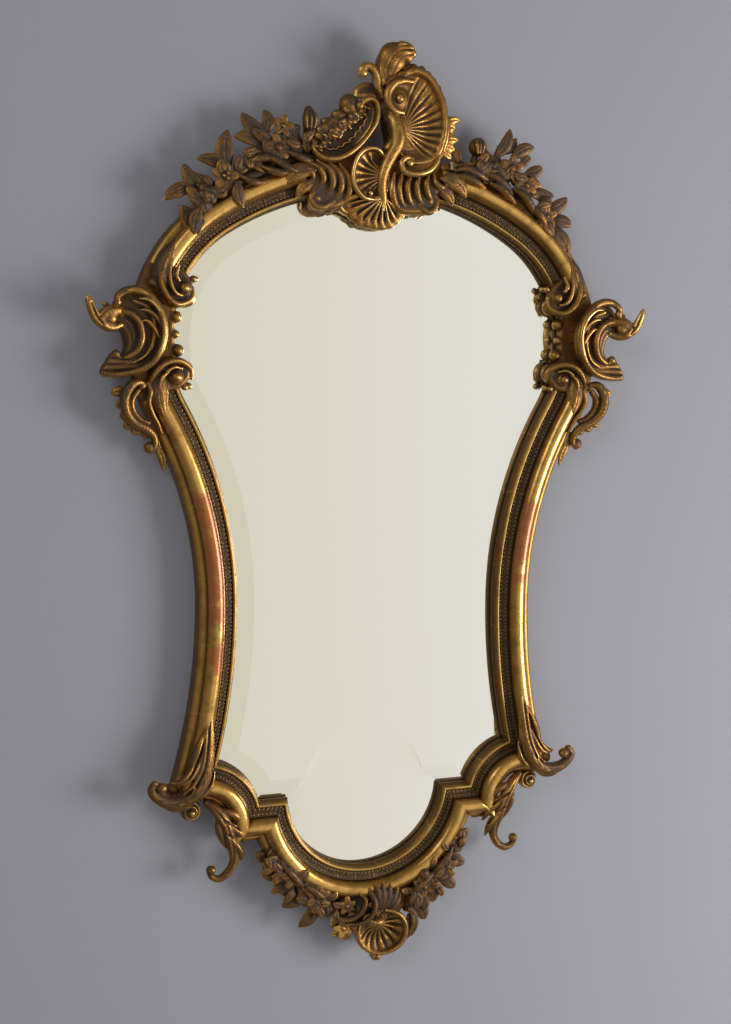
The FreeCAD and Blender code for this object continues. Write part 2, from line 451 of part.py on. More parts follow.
def base_corner(s):
    """Where the level step meets the round base."""
    z = step_z - s
    return (math.sqrt((BASE_RADIUS + s) ** 2 - (z - base_c[1]) ** 2), z)


def at(point, height):
    return V(point[0], -height, point[1])


def arc_edge(centre, radius, start, end, height):
    mx = start[0] + end[0] - 2 * centre[0]
    mz = start[1] + end[1] - 2 * centre[1]
    m = math.hypot(mx, mz)
    middle = (centre[0] + radius * mx / m, centre[1] + radius * mz / m)
    return Part.Arc(at(start, height), at(middle, height), at(end, height)).toShape()


def outline(s, height):
    """Closed line s outside the lip, at one height off the wall."""
    top = polar(arch_c, ARCH_RADIUS + s, arch_angle)
    side = polar(shoulder_c, SHOULDER_RADIUS + s, waist_angle)
    waist = (WAIST_HALF + s, -WAIST_DROP)
    corners = [flare_corner(s), ear_corner(s), base_corner(s)]
    left = [(-p[0], p[1]) for p in (top, side, waist, *corners)]
    flip = [(-c[0], c[1]) for c in (shoulder_c, waist_c, flare_c, ear_c)]
    edges = [
        arc_edge(arch_c, ARCH_RADIUS + s, left[0], top, height),
        arc_edge(shoulder_c, SHOULDER_RADIUS + s, top, side, height),
        arc_edge(waist_c, WAIST_RADIUS - s, side, waist, height),
        arc_edge(flare_c, FLARE_RADIUS - s, waist, corners[0], height),
        arc_edge(ear_c, EAR_RADIUS - s, corners[0], corners[1], height),
        Part.makeLine(at(corners[1], height), at(corners[2], height)),
        arc_edge(base_c, BASE_RADIUS + s, corners[2], left[5], height),
        Part.makeLine(at(left[5], height), at(left[4], height)),
        arc_edge(flip[3], EAR_RADIUS - s, left[4], left[3], height),
        arc_edge(flip[2], FLARE_RADIUS - s, left[3], left[2], height),
        arc_edge(flip[1], WAIST_RADIUS - s, left[2], left[1], height),
        arc_edge(flip[0], SHOULDER_RADIUS + s, left[1], left[0], height),
    ]
    return Part.Wire(edges)


def slab(s, low, high):
    return Part.Face(outline(s, low)).extrude(FORWARD * (high - low))


def mirrored(shape):
    return shape.mirror(ORIGIN, SIDEWAYS)


def fused(shapes):
    if len(shapes) == 1:
        return shapes[0]
    return shapes[0].fuse(shapes[1:])


def largest(shape):
    return max(shape.Solids, key=lambda solid: solid.Volume)


# Moulding sections as faces, drawn with place(s, height)
def moulding_section(place):
    def spot(share):
        return place(MOULDING_WIDTH * share[0], lip_back + relief * share[1])

    start = place(0, lip_back)
    lip = [start] + [spot(p) for p in LIP_SHARES]
    bead = [spot(p) for p in BEAD_SHARES]
    bed = [spot(p) for p in BED_SHARES]
    cushion = [spot(p) for p in CUSHION_SHARES]
    fillet = [spot(p) for p in FILLET_SHARES]
    outer = [spot(p) for p in OUTER_SHARES]
    back = [place(MOULDING_WIDTH, BACK_GAP), place(REBATE_WIDTH, BACK_GAP), place(REBATE_WIDTH, lip_back)]
    edges = [Part.makeLine(a, b) for a, b in zip(lip, lip[1:])]
    edges.append(Part.Arc(lip[-1], *bead).toShape())
    chain = [bead[-1], *bed, cushion[0]]
    edges += [Part.makeLine(a, b) for a, b in zip(chain, chain[1:])]
    edges.append(Part.Arc(*cushion).toShape())
    chain = [cushion[-1], *fillet]
    edges += [Part.makeLine(a, b) for a, b in zip(chain, chain[1:])]
    edges.append(Part.Arc(fillet[-1], *outer).toShape())
    chain = [outer[-1], *back, start]
    edges += [Part.makeLine(a, b) for a, b in zip(chain, chain[1:])]
    return Part.Face(Part.Wire(edges))


def strip_section(place):
    low = [MOULDING_WIDTH * BED_SHARES[0][0] + STRIP_CLEARANCE, lip_back + relief * BED_SHARES[0][1]]
    high = [MOULDING_WIDTH * BED_SHARES[1][0] - STRIP_CLEARANCE, lip_back + relief * BED_SHARES[1][1]]
    slope = (high[1] - low[1]) / (high[0] - low[0] + 2 * STRIP_CLEARANCE)
    low[1] += slope * STRIP_CLEARANCE
    high[1] -= slope * STRIP_CLEARANCE
    ring = [place(*low), place(*high)]
    ring += [place(high[0], high[1] + STRIP_THICKNESS), place(low[0], low[1] + STRIP_THICKNESS)]
    return Part.Face(Part.makePolygon(ring + ring[:1]))


def block_section(place):
    ring = [place(0, lip_back), place(0, SEAT_HEIGHT), place(MOULDING_WIDTH, SEAT_HEIGHT)]
    ring += [place(MOULDING_WIDTH, BACK_GAP), place(REBATE_WIDTH, BACK_GAP), place(REBATE_WIDTH, lip_back)]
    return Part.Face(Part.makePolygon(ring + ring[:1]))


def turned(section, centre, radius, side, start, end):
    """Section swept round one arc; side is 1 where the wood lies outside the arc."""
    face = section(lambda s, height: V(centre[0] + radius + side * s, -height, centre[1]))
    pivot = V(centre[0], 0, centre[1])
    face.rotate(pivot, FORWARD, start)
    return face.revolve(pivot, FORWARD, end - start)


def level(section, start, end, z):
    face = section(lambda s, height: V(start, -height, z - s))
    return face.extrude(SIDEWAYS * (end - start))


def half_space(point, direction):
    """A large box on the side of a plane that direction points to."""
    size = ARCH_RADIUS
    box = Part.makeBox(size, size, size, V(-size / 2, -size / 2, 0))
    turn = FreeCAD.Rotation(V(0, 0, 1), V(direction[0], 0, direction[1]))
    box.Placement = FreeCAD.Placement(at(point, 0), turn)
    return box


def bisector(first, second):
    return (first[0] + second[0], first[1] + second[1])


def travel(centre, point, turn):
    """Unit direction along an arc at a point; turn is 1 for anticlockwise."""
    dx = point[0] - centre[0]
    dz = point[1] - centre[1]
    r = math.hypot(dx, dz)
    return (-turn * dz / r, turn * dx / r)


flare_mitre = bisector(travel(flare_c, flare_corner(0), 1), travel(ear_c, flare_corner(0), 1))
ear_mitre = bisector(travel(ear_c, ear_corner(0), 1), (-1, 0))
base_mitre = bisector((-1, 0), travel(base_c, base_corner(0), -1))


def opposite(direction):
    return (-direction[0], -direction[1])


def top_rail(section, crest_end):
    return fused([
        turned(section, arch_c, ARCH_RADIUS, 1, arch_angle, crest_end),
        turned(section, shoulder_c, SHOULDER_RADIUS, 1, WING_TOP_ANGLE, arch_angle),
    ])


def stile(section):
    waist_start = waist_angle + 180
    flare_end = bearing(flare_c, flare_corner(0)) % 360 + OVERRUN_ANGLE
    flare = turned(section, flare_c, FLARE_RADIUS, -1, 180, flare_end)
    return fused([
        turned(section, shoulder_c, SHOULDER_RADIUS, 1, waist_angle, WING_LOW_ANGLE),
        turned(section, waist_c, WAIST_RADIUS, -1, waist_start, 180),
        flare.cut(half_space(flare_corner(0), flare_mitre)),
    ])


def lower_rail(section):
    ear = turned(section, ear_c, EAR_RADIUS, -1, EAR_START_ANGLE, EAR_END_ANGLE)
    ear = ear.cut(half_space(flare_corner(0), opposite(flare_mitre)))
    ear = ear.cut(half_space(ear_corner(0), ear_mitre))
    step = level(section, base_corner(0)[0] - MOULDING_WIDTH, ear_corner(0)[0] + MOULDING_WIDTH, step_z)
    step = step.cut(half_space(ear_corner(0), opposite(ear_mitre)))
    step = step.cut(half_space(base_corner(0), base_mitre))
    return fused([ear, step])


def base_rail(section):
    arc = turned(section, base_c, BASE_RADIUS, 1, 180, 360)
    corner = base_corner(0)
    arc = arc.cut(half_space(corner, opposite(base_mitre)))
    return arc.cut(half_space((-corner[0], corner[1]), (base_mitre[0], -base_mitre[1])))


class Carver:
    """Lofted strokes, leaves, balls, flowers, ribs and plates from tables of shares."""

    def __init__(self, anchor, module, floor):
        self.anchor = anchor
        self.module = module
        self.floor = floor

    def spot(self, x, z, rise):
        m = self.module
        return V(self.anchor[0] + m * x, -(self.floor + m * rise), self.anchor[1] + m * z)

    def stroke(self, rows):
        """Rows of x, z, half width, half thickness and rise."""
        spots = [self.spot(x, z, rise) for x, z, wide, thick, rise in rows]
        wires = []
        for i, (x, z, wide, thick, rise) in enumerate(rows):
            along = spots[min(i + 1, len(rows) - 1)] - spots[max(i - 1, 0)]
            across = along.cross(FORWARD).normalize()
            out = across.cross(along).normalize()
            rim = []
            for step in range(9):
                a = math.pi * step / 4
                side = across * (self.module * wide * math.cos(a))
                rim.append(spots[i] + side + out * (self.module * thick * math.sin(a)))
            front = Part.BSplineCurve()
            front.interpolate(Points=rim[:5], InitialTangent=out, FinalTangent=out * -1)
            back = Part.BSplineCurve()
            back.interpolate(Points=rim[4:], InitialTangent=out * -1, FinalTangent=out)
            wires.append(Part.Wire([front.toShape(), back.toShape()]))
        return Part.makeLoft(wires, True, False)

    def leaf(self, base, tip, wide, rise, lift):
        rows = []
        for t, share in LEAF_SHARES:
            x = base[0] + (tip[0] - base[0]) * t
            z = base[1] + (tip[1] - base[1]) * t
            rows.append((x, z, wide * share, wide * share * LEAF_FLATNESS_SHARE, rise + lift * t))
        return self.stroke(rows)

    def ball(self, x, z, radius, rise):
        """A sphere in two halves, so that each of its faces has a border."""
        middle = self.spot(x, z, rise)
        half = Part.makeSphere(self.module * radius, middle, FORWARD, -90, 90, 180)
        other = half.copy()
        other.rotate(middle, FORWARD, 180)
        return half.fuse(other)

    def flower(self, x, z, radius, rise):
        parts = [self.ball(x, z, radius * PETAL_SHARES["heart"], rise + radius * PETAL_SHARES["lift"])]
        reach = radius * PETAL_SHARES["reach"]
        for petal in range(5):
            a = math.pi * (1 + 4 * petal) / 10
            petal_at = (x + reach * math.cos(a), z + reach * math.sin(a))
            parts.append(self.ball(*petal_at, radius * PETAL_SHARES["petal"], rise))
        return fused(parts)

    def rib(self, hinge, end):
        far = self.spot(*end, PLATE_SHARE)
        near = self.spot(*hinge, PLATE_SHARE)
        near = near + (far - near) * RIB_START_SHARE
        thin = self.module * RIB_THIN_SHARE
        thick = self.module * RIB_THICK_SHARE
        return Part.makeCone(thin, thick, (far - near).Length, near, far - near)

    def plate(self, ring, low, high):
        curve = Part.BSplineCurve()
        curve.interpolate(Points=[self.spot(x, z, low) for x, z in ring], PeriodicFlag=True)
        face = Part.Face(Part.Wire([curve.toShape()]))
        return face.extrude(FORWARD * (self.module * (high - low)))

    def level_off(self, shape, rise):
        """Keep what stands in front of a plane parallel to the wall."""
        size = 4 * self.module
        corner = self.spot(0, 0, rise) - V(size / 2, 0, size / 2)
        return shape.cut(Part.makeBox(size, size, size, corner))

    def relief(self, plate, strokes=(), balls=(), hinge=None, ribs=(), leaves=()):
        """A plate on the seat with strokes, balls and ribs bedded on its face."""
        body = self.plate(plate, 0, PLATE_SHARE)
        raised = [self.stroke(rows) for rows in strokes]
        raised += [self.ball(*row) for row in balls]
        raised += [self.rib(hinge, end) for end in ribs]
        raised = [self.level_off(shape, PLATE_SHARE) for shape in raised]
        low = [self.level_off(self.leaf(*row), 0) for row in leaves]
        return fused([body] + raised + low)

    def free(self, strokes=(), balls=(), leaves=(), flowers=()):
        """Strokes, balls, leaves and flowers grown together."""
        parts = [self.stroke(rows) for rows in strokes]
        parts += [self.ball(*row) for row in balls]
        parts += [self.leaf(*row) for row in leaves]
        parts += [self.flower(*row) for row in flowers]
        return fused(parts)


def bedded(shape, *cutters):
    """The main solid left when the wood under a carving is taken out of it."""
    for cutter in cutters:
        shape = shape.cut(cutter)
    return largest(shape)


def cylinder(radius, start, end):
    return Part.makeCylinder(radius, (end - start).Length, start, end - start)


shapes = {}
groups = {}

# Moulded rails, each with its pressed composition strip
for name, build in (("stile", stile), ("lower", lower_rail)):
    rail = build(moulding_section)
    strip = build(strip_section)
    shapes[name + "_rail_right"] = rail
    shapes[name + "_rail_left"] = mirrored(rail)
    shapes[name + "_strip_right"] = strip
    shapes[name + "_strip_left"] = mirrored(strip)
shapes["top_rail_right"] = top_rail(moulding_section, CREST_RIGHT_ANGLE)
shapes["top_rail_left"] = mirrored(top_rail(moulding_section, 180 - CREST_LEFT_ANGLE))
shapes["top_strip_right"] = top_rail(strip_section, CREST_RIGHT_ANGLE)
shapes["top_strip_left"] = mirrored(top_rail(strip_section, 180 - CREST_LEFT_ANGLE))
shapes["base_rail"] = base_rail(moulding_section)
shapes["base_strip"] = base_rail(strip_section)

# Carving stations
crest = Carver((0, ARCH_TOP), CREST_MODULE, SEAT_HEIGHT)
wing = Carver((SHOULDER_HALF + SHOULDER_RADIUS, shoulder_c[1]), WING_MODULE, SEAT_HEIGHT)
foot = Carver(flare_corner(0), FOOT_MODULE, 0)
pendant = Carver(ear_c, PENDANT_MODULE, 0)
spray_right = Carver(polar(arch_c, ARCH_RADIUS, arch_angle), SPRAY_MODULE, 0)
spray_left = Carver((-spray_right.anchor[0], spray_right.anchor[1]), SPRAY_MODULE, 0)
base = Carver((0, base_c[1] - BASE_RADIUS), BASE_MODULE, SEAT_HEIGHT)
garland = Carver(base.anchor, BASE_MODULE, 0)

# Plain blocks that carry the crest, the wings and the base carving
block_depth = SEAT_HEIGHT - BACK_GAP
crest_depth = -block_depth / CREST_MODULE
wing_depth = -block_depth / WING_MODULE
base_depth = -block_depth / BASE_MODULE
shapes["crest_block"] = fused([
    turned(block_section, arch_c, ARCH_RADIUS, 1, CREST_RIGHT_ANGLE, CREST_LEFT_ANGLE),
    crest.plate(CREST_BOARD_LEFT_SHARES, crest_depth, 0),
    crest.plate(CREST_BOARD_RIGHT_SHARES, crest_depth, 0),
])
wing_block = fused([
    turned(block_section, shoulder_c, SHOULDER_RADIUS, 1, WING_LOW_ANGLE, WING_TOP_ANGLE),
    wing.plate(WING_BOARD_SHARES, wing_depth, 0),
])
shapes["base_block"] = bedded(base.plate(BASE_BLOCK_SHARES, base_depth, 0), shapes["base_rail"])

# Crest carving
shapes["crest_shell"] = crest.relief(SHELL_PLATE_SHARES, [SHELL_RIM_SHARES, SHELL_VOLUTE_SHARES],
                                     SHELL_BALL_SHARES, SHELL_HINGE_SHARES, SHELL_RIB_SHARES,
                                     SHELL_LEAF_SHARES)
shapes["crest_panel"] = crest.relief(PANEL_PLATE_SHARES, [PANEL_RIM_SHARES], PANEL_BALL_SHARES)
shapes["crest_middle_shell"] = crest.relief(MIDDLE_PLATE_SHARES, [MIDDLE_RIM_SHARES], (),
                                            MIDDLE_HINGE_SHARES, MIDDLE_RIB_SHARES)
shapes["crest_lower_shell"] = crest.relief(LOWER_PLATE_SHARES, (), (), LOWER_HINGE_SHARES, LOWER_RIB_SHARES)
shapes["crest_leafage_right"] = crest.relief(LEAFAGE_RIGHT_SHARES, (), (), LEAFAGE_RIGHT_HINGE_SHARES,
                                             LEAFAGE_RIGHT_RIB_SHARES)
shapes["crest_leafage_left"] = crest.relief(LEAFAGE_LEFT_SHARES, (), (), LEAFAGE_LEFT_HINGE_SHARES,
                                            LEAFAGE_LEFT_RIB_SHARES)
shapes["crest_stem"] = crest.level_off(crest.stroke(STEM_SHARES), PLATE_SHARE)
shapes["crest_scroll"] = crest.level_off(crest.free([CREST_SCROLL_SHARES], CREST_SCROLL_BALL_SHARES),
                                         PLATE_SHARE)
shapes["crest_finial"] = crest.level_off(crest.stroke(FINIAL_SHARES), 0)
shapes["crest_curl"] = crest.level_off(crest.free([CURL_SHARES], CURL_BALL_SHARES), 0)

# Wing carving, the same on both sides
wings = {
    "wing_block": wing_block,
    "wing_scroll": wing.relief(WING_PLATE_SHARES, [WING_RIM_SHARES, WING_INNER_SHARES], WING_BALL_SHARES),
    "wing_prong": wing.level_off(wing.stroke(PRONG_SHARES), PLATE_SHARE),
}
wings["wing_comma"] = bedded(wing.free([COMMA_SHARES], COMMA_BALL_SHARES, COMMA_LEAF_SHARES), wing_block,
                             wings["wing_scroll"], shapes["stile_rail_right"])
clasps = []
for strokes, balls, rail in ((CLASP_TOP_SHARES, CLASP_TOP_BALL_SHARES, "top_rail_right"),
                             (CLASP_LOW_SHARES, CLASP_LOW_BALL_SHARES, "stile_rail_right")):
    clasps.append(bedded(wing.level_off(wing.free([strokes], balls), 0), shapes[rail]))
sight_balls = [bedded(wing.ball(*row), wing_block) for row in SIGHT_BALL_SHARES]

# Foot scrolls, discs and pendant leaves, bedded on the mouldings
wood_right = [shapes["stile_rail_right"], shapes["stile_strip_right"], shapes["lower_rail_right"],
              shapes["lower_strip_right"]]
wings["foot_scroll"] = bedded(foot.free([FOOT_SHARES], FOOT_BALL_SHARES, FOOT_LEAF_SHARES), *wood_right)
disc_place = FOOT_DISC_SHARES["place"]
disc_spot = [pendant.spot(*disc_place, FOOT_DISC_SHARES[key]) for key in ("back", "front", "crown")]
disc = cylinder(PENDANT_MODULE * FOOT_DISC_SHARES["disc"], disc_spot[0], disc_spot[1])
boss = cylinder(PENDANT_MODULE * FOOT_DISC_SHARES["boss"], disc_spot[0], disc_spot[2])
foot_disc = bedded(disc.fuse(boss), *wood_right, wings["foot_scroll"])
wings["pendant_leaf"] = bedded(pendant.free([PENDANT_SHARES], PENDANT_BALL_SHARES, PENDANT_LEAF_SHARES),
                               *wood_right, wings["foot_scroll"], foot_disc)
for name, shape in wings.items():
    shapes[name + "_right"] = shape
    shapes[name + "_left"] = mirrored(shape)
for name, solids in (("wing_clasps", clasps), ("sight_balls", sight_balls), ("foot_discs", [foot_disc])):
    groups[name] = solids + [mirrored(shape) for shape in solids]

# Flower sprays on the arch
stem_left = [(-x, z, wide, thick, rise) for x, z, wide, thick, rise in SPRAY_STEM_SHARES]
shapes["spray_right"] = bedded(
    spray_right.free([SPRAY_STEM_SHARES, *RIGHT_TWIG_SHARES], RIGHT_BALL_SHARES, RIGHT_LEAF_SHARES,
                     RIGHT_FLOWER_SHARES),
    shapes["top_rail_right"], shapes["crest_block"], shapes["crest_shell"], shapes["crest_leafage_right"])
shapes["spray_left"] = bedded(
    spray_left.free([stem_left, *LEFT_TWIG_SHARES], LEFT_BALL_SHARES, LEFT_LEAF_SHARES, LEFT_FLOWER_SHARES),
    shapes["top_rail_left"], shapes["crest_block"], shapes["crest_panel"], shapes["crest_leafage_left"])

# Base carving
base_dish = base.relief(BASE_SHELL_SHARES, [BASE_RIM_SHARES], (), BASE_HINGE_SHARES, BASE_RIB_SHARES)
base_drop = base.free([DROP_SHARES], DROP_BALL_SHARES).cut(shapes["base_block"])
shapes["base_shell"] = base_dish.fuse(base_drop)
shapes["base_ribbon"] = bedded(base.level_off(base.free(RIBBON_SHARES, (), RIBBON_LEAF_SHARES), 0),
                               shapes["base_rail"], shapes["base_strip"], shapes["base_shell"])
stem_west = [(-x, z, wide, thick, rise) for x, z, wide, thick, rise in GARLAND_STEM_SHARES]
base_wood = [shapes[name] for name in ("base_rail", "base_block", "base_shell", "base_ribbon")]
shapes["garland_right"] = bedded(
    garland.free([GARLAND_STEM_SHARES], RIGHT_BUD_SHARES, RIGHT_FROND_SHARES, RIGHT_BLOOM_SHARES),
    *base_wood)
shapes["garland_left"] = bedded(
    garland.free([stem_west], (), LEFT_FROND_SHARES, LEFT_BLOOM_SHARES), *base_wood)

# Glass with a ground bevel, and the three backboards behind it
edge = REBATE_WIDTH - EDGE_CLEARANCE
bevel_rings = [outline(edge, glass_back + GLASS_EDGE), outline(-BEVEL_WIDTH, glass_back + GLASS_THICKNESS)]
pane = slab(edge, glass_back, glass_back + GLASS_EDGE)
shapes["mirror_glass"] = pane.fuse(Part.makeLoft(bevel_rings, True, True))
boards = slab(edge, board_back, board_back + BOARD_THICKNESS)
board_lines = [ARCH_TOP + MOULDING_WIDTH, -BOARD_SPLIT_UPPER, -BOARD_SPLIT_LOWER,
               base_c[1] - BASE_RADIUS - MOULDING_WIDTH]
reach = SHOULDER_HALF + SHOULDER_RADIUS + MOULDING_WIDTH
for name, upper, lower in zip(("upper", "middle", "lower"), board_lines, board_lines[1:]):
    corner = V(-reach, -MOULDING_HEIGHT, lower + BOARD_GAP / 2)
    window = Part.makeBox(2 * reach, MOULDING_HEIGHT, upper - lower - BOARD_GAP, corner)
    shapes["backboard_" + name] = boards.common(window)

# Dowels across every joint of the frame
dowel_height = (BACK_GAP + lip_back) / 2
arcs = {"arch": (arch_c, ARCH_RADIUS, 1), "shoulder": (shoulder_c, SHOULDER_RADIUS, 1),
        "waist": (waist_c, WAIST_RADIUS, -1), "flare": (flare_c, FLARE_RADIUS, -1),
        "ear": (ear_c, EAR_RADIUS, -1), "base": (base_c, BASE_RADIUS, 1)}


def on_arc(name, angle, s):
    centre, radius, side = arcs[name]
    return polar(centre, radius + side * s, angle)


joints = []
for share in DOWEL_SHARES:
    s = MOULDING_WIDTH * share
    crest_joint = on_arc("arch", CREST_LEFT_ANGLE, s)
    joints.append((crest_joint, travel(arch_c, crest_joint, 1), False))
    crest_joint = on_arc("arch", CREST_RIGHT_ANGLE, s)
    joints.append((crest_joint, travel(arch_c, crest_joint, 1), False))
    for angle in (WING_TOP_ANGLE, WING_LOW_ANGLE):
        wing_joint = on_arc("shoulder", angle, s)
        joints.append((wing_joint, travel(shoulder_c, wing_joint, 1), True))
mitre_s = MOULDING_WIDTH * MITRE_DOWEL_SHARE
joints.append((flare_corner(mitre_s), flare_mitre, True))
joints.append((base_corner(mitre_s), base_mitre, True))


def dowel(point, direction, radius, length):
    along = V(direction[0], 0, direction[1]).normalize() * (length / 2)
    middle = at(point, dowel_height)
    return cylinder(radius, middle - along, middle + along)


dowels = []
holes = []
for point, direction, both in joints:
    pin = dowel(point, direction, DOWEL_RADIUS, DOWEL_LENGTH)
    hole = dowel(point, direction, DOWEL_RADIUS + DOWEL_CLEARANCE, DOWEL_LENGTH + 2 * DOWEL_CLEARANCE)
    dowels += [pin, mirrored(pin)] if both else [pin]
    holes += [hole, mirrored(hole)] if both else [hole]
groups["rail_dowels"] = dowels

# Nails driven into the rebate hold the backboards
nails = []
for name, angle in NAIL_PLACES:
    reaches = (REBATE_WIDTH - NAIL_REACH, REBATE_WIDTH + NAIL_GRIP)
    ends = [at(on_arc(name, angle, s), BACK_GAP + NAIL_SETBACK) for s in reaches]
    nail = cylinder(NAIL_RADIUS, *ends)
    hole = cylinder(NAIL_RADIUS + NAIL_CLEARANCE, *ends)
    nails += [nail, mirrored(nail)]
    holes += [hole, mirrored(hole)]
groups["board_nails"] = nails


def screw(spot, radius, head_radius, head, length, grown):
    """Pan head outside the back, shank into the wood; grown widens it for its hole."""
    neck = V(spot.x, -BACK_GAP, spot.z)
    shank = cylinder(radius + grown, neck, neck + FORWARD * length)
    cap = cylinder(head_radius + grown, neck - FORWARD * head, neck)
    return shank.fuse(cap)


# Screws from the back hold the carving to its blocks
screw_length = SEAT_HEIGHT - BACK_GAP + SCREW_BITE
screw_sizes = (SCREW_RADIUS, SCREW_HEAD_RADIUS, SCREW_HEAD, screw_length)
screws = []
drilled = []
for name, (x, z) in CREST_SCREW_SHARES.items():
    drilled.append((crest.spot(x, z, 0), ("crest_block", name), False))
for x, z in WING_SCREW_SHARES:
    drilled.append((wing.spot(x, z, 0), ("wing_block_right", "wing_scroll_right"), True))
for name, (x, z) in BASE_SCREW_SHARES.items():
    drilled.append((base.spot(x, z, 0), ("base_block", name), False))
for spot, names, both in drilled:
    pin = screw(spot, *screw_sizes, 0)
    hole = screw(spot, *screw_sizes, SCREW_CLEARANCE)
    screws += [pin, mirrored(pin)] if both else [pin]
    for name in names:
        shapes[name] = shapes[name].cut(hole)
        if both:
            twin = name.replace("right", "left")
            shapes[twin] = shapes[twin].cut(mirrored(hole))
groups["carving_screws"] = screws

# Ring hangers on the backs of the wing blocks
hinge_z = RING_WIRE - RING_RISE
hinge_height = BACK_GAP - EYE_RADIUS
hinge = V(RING_HALF_SPACING, -hinge_height, hinge_z)
half_eye = SIDEWAYS * EYE_HALF_LENGTH
eye = cylinder(EYE_RADIUS, hinge - half_eye, hinge + half_eye)
bore = cylinder(RING_WIRE + EYE_CLEARANCE, hinge - half_eye, hinge + half_eye)
leaf_corner = V(RING_HALF_SPACING - STRAP_HALF_WIDTH, -BACK_GAP, hinge_z - STRAP_LENGTH)
strap_leaf = Part.makeBox(2 * STRAP_HALF_WIDTH, STRAP_THICKNESS, STRAP_LENGTH, leaf_corner)
strap = strap_leaf.fuse(eye).cut(bore)
half_bar = SIDEWAYS * RING_HALF_WIDTH
bow_centre = hinge + V(0, 0, RING_RISE - RING_HALF_WIDTH)
ring_parts = [cylinder(RING_WIRE, hinge - half_bar, hinge + half_bar)]
for end in (half_bar, half_bar * -1):
    ring_parts.append(cylinder(RING_WIRE, hinge + end, bow_centre + end))
    ring_parts.append(Part.makeSphere(RING_WIRE, hinge + end))
bow = Part.Face(Part.Wire([Part.makeCircle(RING_WIRE, bow_centre + half_bar, V(0, 0, 1))]))
ring_parts.append(bow.revolve(bow_centre, FORWARD, 180))
ring = fused(ring_parts)
strap_screws = []
back_plane = BACK_GAP - STRAP_THICKNESS
for share in STRAP_SCREW_SHARES:
    neck = V(RING_HALF_SPACING, -back_plane, hinge_z - STRAP_LENGTH * share)
    shank = cylinder(STRAP_SCREW_RADIUS, neck, neck + FORWARD * STRAP_SCREW_LENGTH)
    cap = cylinder(STRAP_SCREW_HEAD_RADIUS, neck - FORWARD * STRAP_SCREW_HEAD, neck)
    strap_screws.append(shank.fuse(cap))
    hole_end = neck + FORWARD * (STRAP_SCREW_LENGTH + SCREW_CLEARANCE)
    hole = cylinder(STRAP_SCREW_RADIUS + SCREW_CLEARANCE, neck, hole_end)
    strap = strap.cut(hole)
    holes += [hole, mirrored(hole)]
shapes["hanger_strap_right"] = strap
shapes["hanger_strap_left"] = mirrored(strap)
shapes["hanger_ring_right"] = ring
shapes["hanger_ring_left"] = mirrored(ring)
groups["hanger_screws"] = strap_screws + [mirrored(shape) for shape in strap_screws]

# Bumpers keep the back off the wall
bumpers = []
for name, angle in BUMPER_PLACES:
    spot = on_arc(name, angle, MOULDING_WIDTH * BUMPER_SHARE)
    pad = cylinder(BUMPER_RADIUS, at(spot, 0), at(spot, BACK_GAP))
    bumpers += [pad, mirrored(pad)]
groups["wall_bumpers"] = bumpers

# Holes for dowels, nails and strap screws go through the frame members only
frame_members = [name for name in shapes if name.endswith(("_rail_right", "_rail_left", "_rail"))]
frame_members += ["crest_block", "wing_block_right", "wing_block_left"]
bores = Part.makeCompound(holes)
for name in frame_members:
    shapes[name] = shapes[name].cut(bores)

os.makedirs("parts", exist_ok=True)
for name, shape in shapes.items():
    largest(shape).exportStep("parts/" + name + ".step")
for name, solids in groups.items():
    Part.makeCompound([largest(shape) for shape in solids]).exportStep("parts/" + name + ".step")
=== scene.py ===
import math

import bpy
import numpy as np
from mathutils import Matrix, Vector


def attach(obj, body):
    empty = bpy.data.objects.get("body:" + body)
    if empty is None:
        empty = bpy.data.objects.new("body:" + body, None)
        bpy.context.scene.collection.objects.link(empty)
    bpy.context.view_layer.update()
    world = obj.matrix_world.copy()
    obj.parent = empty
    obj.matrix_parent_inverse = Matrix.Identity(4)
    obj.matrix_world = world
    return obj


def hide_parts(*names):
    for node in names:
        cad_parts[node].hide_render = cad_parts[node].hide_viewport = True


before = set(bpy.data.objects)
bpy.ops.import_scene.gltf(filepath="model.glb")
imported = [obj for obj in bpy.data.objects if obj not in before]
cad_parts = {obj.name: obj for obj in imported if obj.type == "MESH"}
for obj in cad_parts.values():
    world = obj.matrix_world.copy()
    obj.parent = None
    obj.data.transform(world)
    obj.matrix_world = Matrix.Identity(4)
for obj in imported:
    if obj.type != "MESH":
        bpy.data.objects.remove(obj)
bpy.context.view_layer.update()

MM = 0.001

# The frame's lines, in millimetres, as x, z and height off the wall
ARCH_C, ARCH_R = (0.0, -186.0), 357.5
SHOULDER_R, SHOULDER_X = 159.5, 108.0
SHOULDER_C = (SHOULDER_X, ARCH_C[1] + math.sqrt((ARCH_R - SHOULDER_R) ** 2 - SHOULDER_X ** 2))
WAIST_X, WAIST_Z = 179.7, -360.0
waist_in = WAIST_X - SHOULDER_X
waist_fall = -WAIST_Z + SHOULDER_C[1]
WAIST_R = (waist_in ** 2 + waist_fall ** 2 - SHOULDER_R ** 2) / (2 * (SHOULDER_R - waist_in))
WAIST_C = (WAIST_X + WAIST_R, WAIST_Z)
FLARE_R = 872.1
FLARE_C = (WAIST_X + FLARE_R, WAIST_Z)
EAR_C, EAR_R = (230.0, -645.0), 85.5
STEP_Z = -620.5
BASE_C, BASE_R = (0.0, -614.0), 109.0
WIDTH = 52.0


def bearing(c, p):
    return np.arctan2(p[1] - c[1], p[0] - c[0])


def flare_corner():
    dx, dz = EAR_C[0] - FLARE_C[0], EAR_C[1] - FLARE_C[1]
    d = math.hypot(dx, dz)
    a = (FLARE_R ** 2 - EAR_R ** 2 + d ** 2) / (2 * d)
    h = math.sqrt(FLARE_R ** 2 - a ** 2)
    return FLARE_C[0] + (a * dx + h * dz) / d, FLARE_C[1] + (a * dz - h * dx) / d


